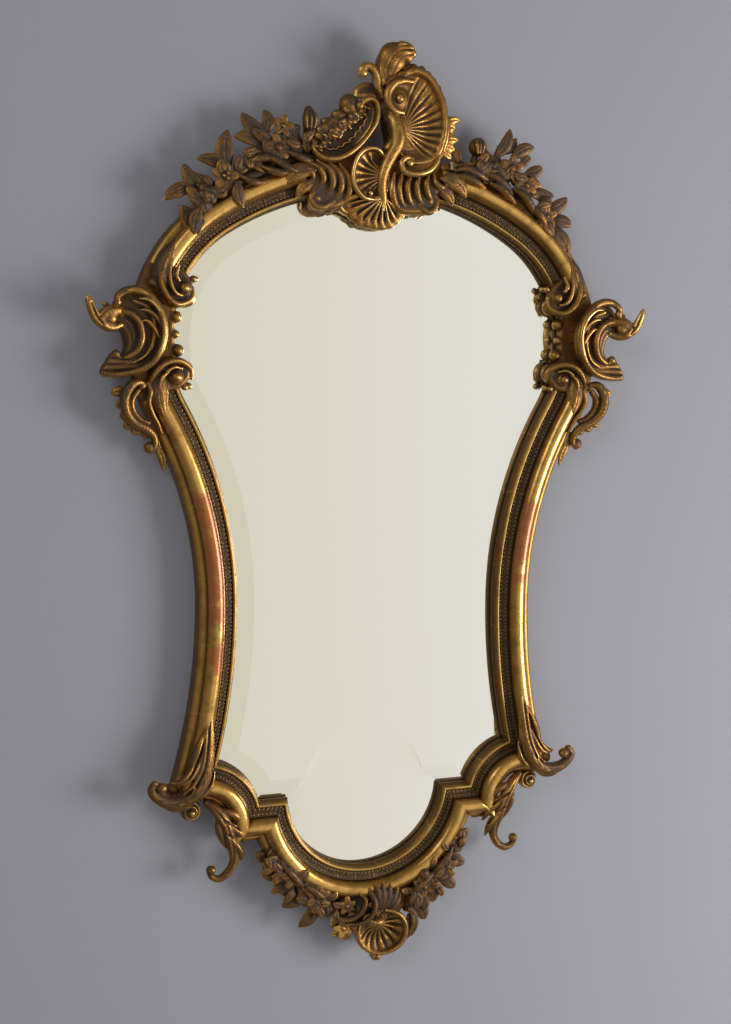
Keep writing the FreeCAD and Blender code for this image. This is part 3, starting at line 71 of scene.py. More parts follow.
def travel(c, p, way):
    """The direction of travel round a centre at a point on its arc."""
    a = bearing(c, p)
    return -way * math.sin(a), way * math.cos(a)


def mitre(corner, u, v):
    """The line that halves a corner, as a point and a direction."""
    x, z = u[0] + v[0], u[1] + v[1]
    size = math.hypot(x, z)
    return corner, (-z / size, x / size)


FLARE_END = flare_corner()
EAR_END = (EAR_C[0] - math.sqrt(EAR_R ** 2 - (STEP_Z - EAR_C[1]) ** 2), STEP_Z)
BASE_END = (math.sqrt(BASE_R ** 2 - (STEP_Z - BASE_C[1]) ** 2), STEP_Z)
FLARE_MITRE = mitre(FLARE_END, travel(FLARE_C, FLARE_END, 1), travel(EAR_C, FLARE_END, 1))
EAR_MITRE = mitre(EAR_END, travel(EAR_C, EAR_END, 1), (-1, 0))
BASE_MITRE = mitre(BASE_END, (-1, 0), travel(BASE_C, BASE_END, -1))


def met(c, r, side, line):
    """The bearing at which the offset arc meets a mitre line, for each offset s."""
    (px, pz), (dx, dz) = line
    ox, oz = px - c[0], pz - c[1]

    def angle(s):
        half = ox * dx + oz * dz
        rest = ox * ox + oz * oz - (r + side * s) ** 2
        root = np.sqrt(np.maximum(half * half - rest, 0))
        t = np.where(np.abs(-half + root) < np.abs(-half - root), -half + root, -half - root)
        return np.arctan2(oz + t * dz, ox + t * dx)

    return angle


def level(line):
    """Where the offset step meets a mitre line, for each offset s."""
    (px, pz), (dx, dz) = line
    return lambda s: (px + (STEP_Z - s - pz) / dz * dx, STEP_Z - s)


ARCH_TURN = float(bearing(ARCH_C, SHOULDER_C))
WAIST_TURN = float(bearing(SHOULDER_C, WAIST_C))


def arc(c, r, side, a0, a1):
    """A run round one arc; its ends may depend on the offset s from the lip."""
    first = a0 if callable(a0) else (lambda s: a0 + 0 * s)
    last = a1 if callable(a1) else (lambda s: a1 + 0 * s)

    def place(s, t):
        a = first(s) + (last(s) - first(s)) * t
        return c[0] + (r + side * s) * np.cos(a), c[1] + (r + side * s) * np.sin(a)

    mid = np.array(WIDTH / 2)
    return place, abs(float(last(mid) - first(mid))) * (r + side * WIDTH / 2)


def straight(p0, p1):
    def place(s, t):
        a, b = p0(s), p1(s)
        return a[0] + (b[0] - a[0]) * t, a[1] + (b[1] - a[1]) * t

    mid = np.array(WIDTH / 2)
    return place, float(abs(p1(mid)[0] - p0(mid)[0]))


def whole(angle):
    return lambda s: angle(s) % (2 * math.pi)


DEGREE = math.pi / 180
CREST_LEFT, CREST_RIGHT = 74.5 * DEGREE, 78 * DEGREE
WING_TOP, WING_FOOT = 27 * DEGREE, -21 * DEGREE
base_start = met(BASE_C, BASE_R, 1, BASE_MITRE)
shoulder_run = arc(SHOULDER_C, SHOULDER_R, 1, ARCH_TURN, WING_TOP)
RUNS = {
    "top_left": [arc(ARCH_C, ARCH_R, 1, CREST_LEFT, ARCH_TURN), shoulder_run],
    "top_right": [arc(ARCH_C, ARCH_R, 1, CREST_RIGHT, ARCH_TURN), shoulder_run],
    "stile": [arc(SHOULDER_C, SHOULDER_R, 1, WING_FOOT, WAIST_TURN),
              arc(WAIST_C, WAIST_R, -1, WAIST_TURN + math.pi, math.pi),
              arc(FLARE_C, FLARE_R, -1, math.pi, whole(met(FLARE_C, FLARE_R, -1, FLARE_MITRE)))],
    "lower": [arc(EAR_C, EAR_R, -1, whole(met(EAR_C, EAR_R, -1, FLARE_MITRE)),
                  whole(met(EAR_C, EAR_R, -1, EAR_MITRE))),
              straight(level(EAR_MITRE), level(BASE_MITRE))],
    "base": [arc(BASE_C, BASE_R, 1, base_start, lambda s: -math.pi - base_start(s))],
}

SHARP_ANGLE = 0.6


def make_object(name, verts, faces, values, smooth_angle=None):
    """A mesh piece from millimetres in x, height, z; values are its point attributes."""
    mesh = bpy.data.meshes.new(name)
    co = np.empty((len(verts), 3), np.float32)
    co[:, 0] = verts[:, 0] * MM
    co[:, 1] = -verts[:, 1] * MM
    co[:, 2] = verts[:, 2] * MM
    mesh.from_pydata(co.tolist(), [], faces.tolist() if hasattr(faces, "tolist") else faces)
    for key, value in values.items():
        layer = mesh.attributes.new(key, "FLOAT", "POINT")
        layer.data.foreach_set("value", np.ascontiguousarray(value, np.float32))
    mesh.polygons.foreach_set("use_smooth", np.ones(len(mesh.polygons), bool))
    if smooth_angle:
        mesh.set_sharp_from_angle(angle=smooth_angle)
    mesh.update()
    obj = bpy.data.objects.new(name, mesh)
    bpy.context.scene.collection.objects.link(obj)
    return obj


def sweep(name, runs, s, height, step, mirror, values=None):
    """The closed section s, height(length) swept along the runs."""
    xs, zs, at = [], [], []
    start = 0.0
    for n, (place, length) in enumerate(runs):
        t = np.linspace(0, 1, max(3, int(length / step) + 1))[:, None]
        if n:
            t = t[1:]
        x, z = place(s[None, :], t)
        xs.append(x + 0 * s)
        zs.append(z + 0 * s)
        at.append(start + length * t[:, 0])
        start += length
    x, z, at = np.vstack(xs), np.vstack(zs), np.concatenate(at)
    h = height(at)
    rows, cols = x.shape
    if mirror:
        x = -x
    verts = np.stack([x.ravel(), h.ravel(), z.ravel()], 1)
    i = np.arange(rows - 1)[:, None] * cols
    j = np.arange(cols)[None, :]
    k = (j + 1) % cols
    quads = np.stack([i + j, i + k, i + cols + k, i + cols + j], -1).reshape(-1, 4)
    faces = quads.tolist() + [list(range(cols))[::-1], list(range((rows - 1) * cols, rows * cols))]
    if not mirror:
        faces = [f[::-1] for f in faces]
    across = np.broadcast_to(s / WIDTH, x.shape).ravel()
    along = np.broadcast_to(at[:, None] * MM, x.shape).ravel()
    extra = {"across": across, "along": along}
    if values is not None:
        extra.update(values(at))
    return make_object(name, verts, faces, extra, SHARP_ANGLE)


# Moulding
def curve(a, b, c, n):
    """Points on the circle arc through three points of the section."""
    (ax, ay), (bx, by), (cx, cy) = a, b, c
    d = 2 * (ax * (by - cy) + bx * (cy - ay) + cx * (ay - by))
    aa, bb, cc = ax ** 2 + ay ** 2, bx ** 2 + by ** 2, cx ** 2 + cy ** 2
    ux = (aa * (by - cy) + bb * (cy - ay) + cc * (ay - by)) / d
    uy = (aa * (cx - bx) + bb * (ax - cx) + cc * (bx - ax)) / d
    r = math.hypot(ax - ux, ay - uy)
    t0, t2 = math.atan2(ay - uy, ax - ux), math.atan2(cy - uy, cx - ux)
    if t2 > t0:
        t2 -= 2 * math.pi
    return [(ux + r * math.cos(t), uy + r * math.sin(t)) for t in np.linspace(t0, t2, n)]


SECTION = ([(0.0, 18.25), (0.0, 21.65), (1.5, 23.6), (3.0, 25.6)]
           + curve((3.0, 29.3), (5.5, 32.1), (8.0, 29.3), 9)
           + [(8.0, 27.9), (19.2, 31.0)]
           + curve((19.2, 35.0), (30.8, 46.6), (42.4, 35.0), 25)
           + [(42.4, 34.0), (43.6, 33.4), (45.5, 33.6)]
           + curve((45.5, 32.1), (50.1, 30.2), (52.0, 25.6), 8)
           + [(52.0, 16.0), (52.0, 6.0), (30.0, 6.0), (7.0, 6.0), (7.0, 18.25)])
SECTION_S = np.array([p[0] for p in SECTION])
SECTION_H = np.array([p[1] for p in SECTION])
CUSHION_FOOT, CUSHION_RISE = 30, 16


def hand_worked(at):
    """The section's heights, very slightly uneven along the run, as hand-gilded wood is."""
    wave = 0.16 * np.sin(at * 0.031) + 0.12 * np.sin(at * 0.083 + 1.7)
    raised = np.clip((SECTION_H - CUSHION_FOOT) / CUSHION_RISE, 0, 1)
    return SECTION_H[None, :] + wave[:, None] * raised[None, :]


pieces = []


def dress(kind, ending, slot, offsets, height, step, values=None):
    """One section swept along every length of the frame, each in place of its CAD length."""
    for run in ("top", "stile", "lower", "base"):
        for side in [""] if run == "base" else ["_left", "_right"]:
            node = run + "_" + kind + side
            runs = RUNS.get(run) or RUNS[run + side]
            obj = sweep(node + ending, runs, offsets, height, step, side == "_left", values)
            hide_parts(node)
            pieces.append((obj, slot))


dress("rail", "_gilt", "gilt_moulding", SECTION_S, hand_worked, 3.0)

# Pressed strip: a row of small tongues
STRIP_IN, STRIP_OUT, STRIP_WIDTH = 8.3, 18.9, 10.6
STRIP_S = np.concatenate([[STRIP_IN], np.linspace(STRIP_IN, STRIP_OUT, 17), [STRIP_OUT]])
BED_START, BED_WIDTH, BED_HEIGHT, BED_RISE = 8.0, 11.2, 27.9, 3.1
STRIP_LIFT, RELIEF_MIDDLE = 0.35, 0.9
PITCH = 5.4


def bed_height(s):
    return BED_HEIGHT + (s - BED_START) * BED_RISE / BED_WIDTH


def tongues(at):
    """Raised loops with a dart between them, leaning a little."""
    v = (STRIP_S - STRIP_IN) / STRIP_WIDTH
    u = (at[:, None] / PITCH + 0.22 * v[None, :]) % 1.0 - 0.5
    w = v[None, :] - 0.46
    loop = np.abs(np.sqrt((u / 0.33) ** 2 + (w / 0.36) ** 2) - 1.0)
    ring = np.exp(-(loop / 0.30) ** 2) * (v[None, :] < 0.86)
    seed = np.exp(-((u / 0.11) ** 2 + ((w - 0.02) / 0.20) ** 2))
    side = np.abs(u) - 0.5
    dart = np.exp(-((side / 0.09) ** 2 + ((v[None, :] - 0.80) / 0.16) ** 2))
    edge = np.exp(-((v[None, :] - 0.97) / 0.05) ** 2)
    return 0.55 + 1.25 * np.maximum(np.maximum(ring, 0.8 * seed), np.maximum(0.8 * dart, 0.7 * edge))


def strip_height(at):
    h = bed_height(STRIP_S)[None, :] + STRIP_LIFT + tongues(at)
    h[:, 0] = bed_height(STRIP_S[0])
    h[:, -1] = bed_height(STRIP_S[-1])
    return h


def strip_values(at):
    return {"cavity": ((tongues(at) - RELIEF_MIDDLE) / RELIEF_MIDDLE).ravel()}


dress("strip", "_tongues", "dark_strip", STRIP_S, strip_height, 0.55, strip_values)

# Carving: strokes, leaves, flowers and shells grown together in a block of clay
FAR = 9.0
VOXEL, FINE, FINEST = 0.9, 0.8, 0.7
PROUDEST = 60.0
CAVITY_CLIP, CAVITY_REACH = 5, 2.2
SMOOTH_PASSES, SMOOTH_SHARE = 3, 0.5
LEAF_PROFILE = ((0.0, 0.22), (0.2, 0.72), (0.42, 1.0), (0.65, 0.86), (0.85, 0.5), (1.0, 0.1))
ROSE_RINGS = ((5, 0.62, 0.50, 0.10), (4, 0.34, 0.40, 0.36), (3, 0.12, 0.26, 0.56))


def wrapped(angle):
    """An angle brought within half a turn of zero."""
    return (angle + math.pi) % (2 * math.pi) - math.pi


def smooth_min(a, b, k):
    h = np.clip(0.5 + 0.5 * (b - a) / k, 0, 1)
    return b * (1 - h) + a * h - k * h * (1 - h)


def spline(rows, step):
    """Rows of numbers run through by a smooth curve, about step apart."""
    p = np.array(rows, float)
    if len(p) < 3:
        n = max(2, int(np.linalg.norm(p[1, :3] - p[0, :3]) / step) + 1)
        t = np.linspace(0, 1, n)[:, None]
        return p[0] + (p[1] - p[0]) * t
    p = np.vstack([2 * p[0] - p[1], p, 2 * p[-1] - p[-2]])
    out = []
    for a, b, c, d in zip(p, p[1:], p[2:], p[3:]):
        n = max(2, int(np.linalg.norm(c[:3] - b[:3]) / step) + 1)
        t = np.linspace(0, 1, n, endpoint=False)[:, None]
        out.append(0.5 * (2 * b + (c - a) * t + (2 * a - 5 * b + 4 * c - d) * t ** 2
                          + (3 * b - a - 3 * c + d) * t ** 3))
    out.append(p[-2][None, :])
    return np.vstack(out)


class Clay:
    """A field of distances on a grid of x, height and z; below zero is wood."""

    def __init__(self, lo, hi, voxel=VOXEL):
        self.lo = np.array(lo, np.float32)
        self.voxel = voxel
        self.n = np.ceil((np.array(hi) - np.array(lo)) / voxel).astype(int) + 1
        self.f = np.full(self.n, FAR, np.float32)
        self.axes = [(self.lo[i] + voxel * np.arange(self.n[i])).astype(np.float32) for i in range(3)]

    def window(self, lo, hi):
        spans = []
        for i in range(3):
            a = int(np.floor((lo[i] - self.lo[i]) / self.voxel))
            b = int(np.ceil((hi[i] - self.lo[i]) / self.voxel)) + 1
            spans.append((min(max(a, 0), self.n[i] - 1), max(min(b, self.n[i]), 1)))
        grid = [self.axes[i][a:b] for i, (a, b) in enumerate(spans)]
        where = tuple(slice(a, b) for a, b in spans)
        return where, grid[0][:, None, None], grid[1][None, :, None], grid[2][None, None, :]

    def put(self, where, d, k, cut):
        old = self.f[where]
        if cut:
            self.f[where] = -smooth_min(-old, d, k)
        else:
            self.f[where] = smooth_min(old, d, k)

    def stroke(self, rows, k=1.3, cut=False, step=2.2):
        """Rows of x, z, height, half width and half thickness."""
        p = spline(rows, step)
        p[:, 3:] = np.maximum(p[:, 3:], 0.35)
        reach = p[:, 3:].max() + 2 * k + 2
        lo = p[:, [0, 2, 1]].min(0) - reach
        hi = p[:, [0, 2, 1]].max(0) + reach
        where, x, h, z = self.window(lo, hi)
        d = np.full(self.f[where].shape, FAR, np.float32)
        origin = [w.start for w in where]
        for a, b in zip(p, p[1:]):
            size = max(a[3], a[4], b[3], b[4]) + 2 * k + 2
            low = np.minimum(a, b)[[0, 2, 1]] - size
            high = np.maximum(a, b)[[0, 2, 1]] + size
            inner, ix, ih, iz = self.window(low, high)
            local = tuple(slice(s.start - o, s.stop - o) for s, o in zip(inner, origin))
            ab = b - a
            length = float(ab[:3] @ ab[:3]) + 1e-9
            t = ((ix - a[0]) * ab[0] + (iz - a[1]) * ab[1] + (ih - a[2]) * ab[2]) / length
            t = np.clip(t, 0, 1)
            w = a[3] + ab[3] * t
            e = a[4] + ab[4] * t
            flat = np.sqrt((ix - a[0] - ab[0] * t) ** 2 + (iz - a[1] - ab[1] * t) ** 2)
            q = np.sqrt((flat / w) ** 2 + ((ih - a[2] - ab[2] * t) / e) ** 2)
            near = d[local]
            np.minimum(near, (q - 1) * np.minimum(w, e), out=near)
        self.put(where, d, k, cut)

    def ball(self, x, z, h, r, e=None, k=1.3, cut=False):
        e = e or r
        reach = max(r, e) + 2 * k + 2
        where, gx, gh, gz = self.window((x - reach, h - reach, z - reach),
                                        (x + reach, h + reach, z + reach))
        q = np.sqrt(((gx - x) ** 2 + (gz - z) ** 2) / r ** 2 + (gh - h) ** 2 / e ** 2)
        self.put(where, (q - 1) * min(r, e), k, cut)

    def plate(self, ring, low, high, k=1.5, round_edge=3.0):
        """A flat board with the given outline and softened edges."""
        ring = spline([(*p, 0) for p in ring] + [(*ring[0], 0)], 3.0)[:-1, :2]
        lo, hi = ring.min(0) - 6, ring.max(0) + 6
        where, x, h, z = self.window((lo[0], low - 4, lo[1]), (hi[0], high + 4, hi[1]))
        d2 = outline_distance(ring, x[:, 0, 0], z[0, 0, :])[:, None, :]
        dh = np.maximum(h - high, low - h)
        a = np.maximum(d2 + round_edge, 0)
        b = np.maximum(dh + round_edge, 0)
        d = np.sqrt(a * a + b * b) + np.minimum(np.maximum(d2, dh) + round_edge, 0) - round_edge
        self.put(where, d, k, False)

    def fan(self, hinge, ring, low, rise, ribs, depth, k=1.3, turn=0.0):
        """A ribbed shell: rise(u) is its height from the hinge, u = 0, to its edge, u = 1."""
        ring = spline([(*p, 0) for p in ring] + [(*ring[0], 0)], 2.5)[:-1, :2]
        lo, hi = ring.min(0) - 5, ring.max(0) + 5
        top = max(rise(np.linspace(0, 1, 30))) + depth + 5
        where, x, h, z = self.window((lo[0], low - 3, lo[1]), (hi[0], top, hi[1]))
        gx, gz = x[:, 0, 0][:, None], z[0, 0, :][None, :]
        d2 = outline_distance(ring, x[:, 0, 0], z[0, 0, :])
        ang = wrapped(np.arctan2(gz - hinge[1], gx - hinge[0]) - turn)
        rho = np.hypot(gx - hinge[0], gz - hinge[1])
        ring_ang = wrapped(np.arctan2(ring[:, 1] - hinge[1], ring[:, 0] - hinge[0]) - turn)
        order = np.argsort(ring_ang)
        edge = np.interp(ang, ring_ang[order], np.hypot(*(ring[order] - np.array(hinge)).T))
        u = np.clip(rho / np.maximum(edge, 1), 0, 1.1)
        first, last, count = ribs
        share = (ang - first) / (last - first)
        inside = np.clip(np.minimum(share, 1 - share) * count * 2 + 0.5, 0, 1)
        wave = np.abs(np.cos(math.pi * share * count)) ** 0.7
        grow = np.clip((u - 0.08) / 0.35, 0, 1) * np.clip((1.0 - u) / 0.2, 0, 1)
        surface = rise(u) + depth * (wave - 0.5) * grow * inside
        d = np.maximum((h - surface[:, None, :]) * 0.75, low - h)
        d = np.maximum(d, d2[:, None, :])
        self.put(where, d, k, False)

    def leaf(self, base, tip, w, h0, h1, bend=0.0, thick=1.5, belly=1.5, k=1.0, vein=True):
        """A pointed leaf with a groove along its middle."""
        bx, bz = base
        dx, dz = tip[0] - bx, tip[1] - bz
        rows, veins = [], []
        for t, share in LEAF_PROFILE:
            side = bend * math.sin(math.pi * t)
            x, z = bx + dx * t - dz * side, bz + dz * t + dx * side
            h = h0 + (h1 - h0) * t + belly * math.sin(math.pi * t)
            rows.append((x, z, h, w * share, thick * (1.1 - 0.45 * t)))
            veins.append((x, z, h + thick * (1.15 - 0.45 * t), 0.75 * (1.1 - 0.6 * t), 1.0))
        self.stroke(rows, k)
        if vein:
            self.stroke(veins[:-1], 0.7, True)

    def flower(self, x, z, h, r, turn=0.3, petals=5, cup=1.5):
        """Open petals round a button."""
        for n in range(petals):
            a = turn + 2 * math.pi * n / petals
            ca, sa = math.cos(a), math.sin(a)
            rows = [(x + ca * r * 0.15, z + sa * r * 0.15, h + 0.5, r * 0.2, 1.5),
                    (x + ca * r * 0.5, z + sa * r * 0.5, h + 0.5 + cup * 0.5, r * 0.38, 1.6),
                    (x + ca * r * 0.82, z + sa * r * 0.82, h + cup, r * 0.38, 1.5),
                    (x + ca * r, z + sa * r, h + cup * 0.4, r * 0.22, 1.0)]
            self.stroke(rows, 0.7)
            self.stroke([(x + ca * r * 0.3, z + sa * r * 0.3, h + 3.0, 0.6, 1.2),
                         (x + ca * r * 0.8, z + sa * r * 0.8, h + cup + 2.0, 0.6, 1.0)], 0.6, True)
        self.ball(x, z, h + 2.0, r * 0.26, r * 0.24, 0.6)

    def rose(self, x, z, h, r, turn=0.0):
        """A half-open rose of lapping petals."""
        self.ball(x, z, h - 2, r * 0.9, r * 0.6, 0.8)
        for count, out, size, lift in ROSE_RINGS:
            for n in range(count):
                a = turn + lift * 3 + 2 * math.pi * n / count
                px, pz = x + r * out * math.cos(a), z + r * out * math.sin(a)
                self.ball(px, pz, h + r * lift, r * size, r * size * 0.8, 0.35)

    def mesh(self):
        """Vertices, quads and how hollow or proud each vertex lies."""
        f = self.f
        f[0], f[-1] = FAR, FAR
        f[:, 0], f[:, -1] = FAR, FAR
        f[:, :, 0], f[:, :, -1] = FAR, FAR
        inside = f < 0
        corners = [(i, j, k) for i in (0, 1) for j in (0, 1) for k in (0, 1)]
        shape = tuple(n - 1 for n in f.shape)
        count = np.zeros(shape, np.int8)
        for i, j, k in corners:
            count += inside[i:i + shape[0], j:j + shape[1], k:k + shape[2]]
        active = (count > 0) & (count < 8)
        cell = np.argwhere(active)
        index = np.full(shape, -1, np.int32)
        index[active] = np.arange(len(cell))
        value = {c: f[cell[:, 0] + c[0], cell[:, 1] + c[1], cell[:, 2] + c[2]] for c in corners}
        total = np.zeros((len(cell), 3))
        hits = np.zeros(len(cell))
        for a in corners:
            for axis in range(3):
                if a[axis]:
                    continue
                b = tuple(1 if i == axis else a[i] for i in range(3))
                va, vb = value[a], value[b]
                cross = (va < 0) != (vb < 0)
                t = np.where(cross, va / np.where(cross, va - vb, 1), 0)
                point = np.tile(np.array(a, float), (len(cell), 1))
                point[:, axis] += t
                total += point * cross[:, None]
                hits += cross
        verts = self.lo + (cell + total / hits[:, None]) * self.voxel
        quads = []
        for axis in range(3):
            i, j = (axis + 1) % 3, (axis + 2) % 3
            low = np.take(inside, range(f.shape[axis] - 1), axis)
            high = np.take(inside, range(1, f.shape[axis]), axis)
            edges = np.argwhere(low != high)
            edges = edges[(edges[:, i] > 0) & (edges[:, j] > 0)]
            edges = edges[(edges[:, i] < f.shape[i] - 1) & (edges[:, j] < f.shape[j] - 1)]
            ring = []
            for di, dj in ((1, 1), (0, 1), (0, 0), (1, 0)):
                e = edges.copy()
                e[:, i] -= di
                e[:, j] -= dj
                ring.append(index[e[:, 0], e[:, 1], e[:, 2]])
            face = np.stack(ring, 1)
            out = low[edges[:, 0], edges[:, 1], edges[:, 2]]
            quads.append(np.where(out[:, None], face, face[:, ::-1]))
        soft = np.clip(f, -CAVITY_CLIP, CAVITY_CLIP)
        for turn in range(2):
            for axis in range(3):
                soft = box_blur(soft, axis, max(1, int(round(CAVITY_REACH / self.voxel))))
        cavity = soft[cell[:, 0], cell[:, 1], cell[:, 2]]
        quads = np.vstack(quads)
        one, two = quads.ravel(), np.roll(quads, -1, 1).ravel()
        near, far = np.concatenate([one, two]), np.concatenate([two, one])
        share = np.maximum(np.bincount(near, minlength=len(verts)), 1)[:, None]
        for turn in range(SMOOTH_PASSES):
            mean = np.stack([np.bincount(near, verts[far, i], len(verts)) for i in range(3)], 1) / share
            verts = verts + SMOOTH_SHARE * (mean - verts)
        return verts, quads, cavity

    def piece(self, name, sides="one"):
        """One piece, or one for each side, or both sides in one; the left is a mirror image."""
        verts, quads, cavity = self.mesh()
        other = verts * np.array([-1, 1, 1])
        rise = verts[:, 1] / PROUDEST
        quads = quads[:, ::-1]
        if sides == "each":
            made = [("_right", verts, quads), ("_left", other, quads[:, ::-1])]
        elif sides == "both":
            made = [("", np.vstack([verts, other]), np.vstack([quads, quads[:, ::-1] + len(verts)]))]
            cavity, rise = np.tile(cavity, 2), np.tile(rise, 2)
        else:
            made = [("", verts, quads)]
        for side, v, q in made:
            obj = make_object(name + side + "_carving", v, q, {"cavity": cavity, "rise": rise})
            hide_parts(name + side)
            pieces.append((obj, "gilt_carving"))


def outline_distance(ring, xs, zs):
    """Signed distance from grid points to a closed line; below zero is inside."""
    px, pz = np.meshgrid(xs, zs, indexing="ij")
    best = np.full(px.shape, 1e9)
    odd = np.zeros(px.shape, bool)
    for (ax, az), (bx, bz) in zip(ring, np.roll(ring, -1, 0)):
        ex, ez = bx - ax, bz - az
        t = np.clip(((px - ax) * ex + (pz - az) * ez) / (ex * ex + ez * ez + 1e-12), 0, 1)
        best = np.minimum(best, (px - ax - ex * t) ** 2 + (pz - az - ez * t) ** 2)
        if az != bz:
            odd ^= ((az > pz) != (bz > pz)) & (px < (bx - ax) * (pz - az) / (bz - az) + ax)
    return np.where(odd, -1, 1) * np.sqrt(best)


def box_blur(a, axis, r):
    pad = [(0, 0)] * 3
    pad[axis] = (r + 1, r)
    c = np.cumsum(np.pad(a, pad, mode="edge"), axis, dtype=np.float64)
    n = a.shape[axis]
    high = np.take(c, range(2 * r + 1, 2 * r + 1 + n), axis)
    low = np.take(c, range(0, n), axis)
    return ((high - low) / (2 * r + 1)).astype(np.float32)


def path(points, h, w, t):
    """Stroke rows along x, z points; h, w and t are numbers or start, middle and end values."""
    n = len(points)
    at = np.linspace(0, 1, n)

    def spread(v):
        if not hasattr(v, "__len__"):
            return [v] * n
        return np.interp(at, np.linspace(0, 1, len(v)), v)

    return [(x, z, a, b, c) for (x, z), a, b, c in zip(points, spread(h), spread(w), spread(t))]


def finger(clay, points, h, w, t=None, k=1.0):
    """One tapering finger of leafage along x, z points."""
    t = t if t is not None else w * 0.9
    clay.stroke(path(points, h, [0.55 * w, w, 0.95 * w, 0.3 * w], [0.7 * t, t, 0.9 * t, 0.45 * t]), k)


def bowl(hub, hollow, rim, low=0.62):
    """Height of a dished shell from its hinge over the hollow to its rim."""
    def rise(u):
        u = np.clip(u, 0, 1)
        down = (hub - hollow) * (1 - np.cos(math.pi * np.minimum(u / low, 1))) / 2
        up = (rim - hollow) * (1 - np.cos(math.pi * np.clip((u - low) / (1 - low), 0, 1))) / 2
        return hub - down + up

    return rise


SEED = 7
rng = np.random.default_rng(SEED)

# Crest: the great shell with its rim, volute and leafy outer edge
clay = Clay((-14, 27, 196), (114, 64, 342))
shell = [(0, 303), (15, 313), (30, 321), (45, 323), (58, 316), (70, 302), (78, 285), (82, 268), (82, 250),
         (79, 235), (75, 222), (62, 212), (42, 208), (28, 212), (18, 226), (12, 245), (6, 262), (0, 280)]
clay.fan((19, 250), shell, 30, bowl(54, 44, 51), (-0.72, 1.28, 11), 3.3)
clay.stroke([(14, 312, 49, 4, 4), (30, 321, 50, 4.5, 4.5), (45, 322, 51, 4.5, 4.5),
             (58, 315, 51, 4.5, 4.5), (69, 301, 51, 4.5, 4.5), (77, 284, 51, 4.5, 4.5),
             (80, 267, 51, 4.2, 4.5), (80, 250, 50, 4, 4.5), (77, 235, 49, 3.6, 4),
             (72, 222, 48, 3, 4)], 3.0)
clay.stroke([(34, 309, 51, 3.4, 4), (20, 309, 53, 4.6, 5), (8, 304, 54, 5.4, 5), (1, 293, 54, 5.6, 5),
             (2, 281, 54, 5.2, 5), (10, 272, 54, 4.6, 4.5), (22, 270, 52, 3.4, 3.5)], 2.0)
clay.ball(17, 288, 45, 14, 7, 3.0)
clay.ball(17, 287, 54, 5.5, 5.0, 0.7)
for x, z in ((16, 321), (27, 329), (38, 331), (49, 329), (58, 323), (66, 315), (73, 306), (80, 292)):
    ax, az = (x - 30) / 60, (z - 270) / 60
    size = math.hypot(ax, az)
    ax, az = ax / size, az / size
    finger(clay, [(x - 15 * ax, z - 15 * az), (x - 6 * ax + 1, z - 6 * az), (x + ax, z + az)],
           [45, 46, 42], 6.4, 5, 1.6)
for x, z, h in ((8, 309, 50), (18, 315, 50), (28, 316, 50)):
    finger(clay, [(x - 8, z - 4), (x, z + 3), (x + 11, z + 6)], h, 2.6, 3.5)
finger(clay, [(84, 280), (86, 262), (85, 240), (80, 218)], [38, 42, 42, 38], 4.5, 5)
for base, tip in (((84, 262), (108, 268)), ((86, 258), (100, 256)), ((84, 240), (106, 242)),
                  ((85, 234), (100, 229)), ((84, 250), (96, 250)), ((82, 226), (95, 218))):
    clay.leaf(base, tip, 5.6, 40, 36, 0.1, 2.4, 1.5, 1.6)
clay.piece("crest_shell")

# Crest: finial leaf and the small curl beside it
clay = Clay((-26, 22, 290), (44, 66, 364), FINE)
clay.plate([(-6, 300), (-10, 318), (-9, 334), (-4, 345), (4, 352), (14, 355), (25, 354), (34, 349),
            (35, 341), (28, 334), (22, 327), (18, 316), (13, 304)], 26, 50, 2.0, 7)
clay.plate([(-4, 302), (0, 322), (14, 333), (34, 334), (43, 328), (34, 320), (14, 312)], 28, 45, 2.0, 5)
clay.ball(10, 338, 45, 19, 11, 3.0)
clay.ball(22, 345, 50, 13, 9, 3.0)
for x, z, h in ((29, 349, 53), (33, 343, 52), (28, 337, 51), (19, 352, 52)):
    clay.ball(x, z, h, 5.6, 5.4, 2.0)
for points in ([(-5, 310), (-6, 328), (0, 342), (12, 350), (25, 352)],
               [(1, 308), (1, 324), (6, 337), (16, 345), (31, 347)],
               [(8, 308), (9, 321), (14, 332), (22, 339), (33, 341)]):
    clay.stroke(path(points, [51, 54, 58, 60, 58], [0.8, 1.2, 1.4, 1.2, 0.8], 3.0), 1.2, True)
for points in ([(14, 318), (26, 324), (38, 327)], [(18, 328), (28, 331), (38, 332)]):
    clay.stroke(path(points, [47, 47, 46], 1.0, 2.4), 1.0, True)
clay.piece("crest_finial")
clay = Clay((-44, 24, 286), (8, 60, 334), FINE)
clay.plate([(-40, 284), (-38, 298), (-24, 307), (-8, 304), (-2, 292), (-4, 287),
            (-20, 287)], 26, 40, 2.5, 6)
clay.stroke([(-2, 292, 42, 6, 6), (-9, 301, 44, 6, 6), (-12, 312, 46, 5.8, 6), (-18, 321, 48, 5.8, 6),
             (-26, 324, 49, 5.4, 5.6), (-33, 320, 49, 5, 5), (-34, 314, 48, 4, 4)], 2.0)
clay.ball(-31, 316, 48, 6.4, 6, 1.5)
clay.piece("crest_curl")

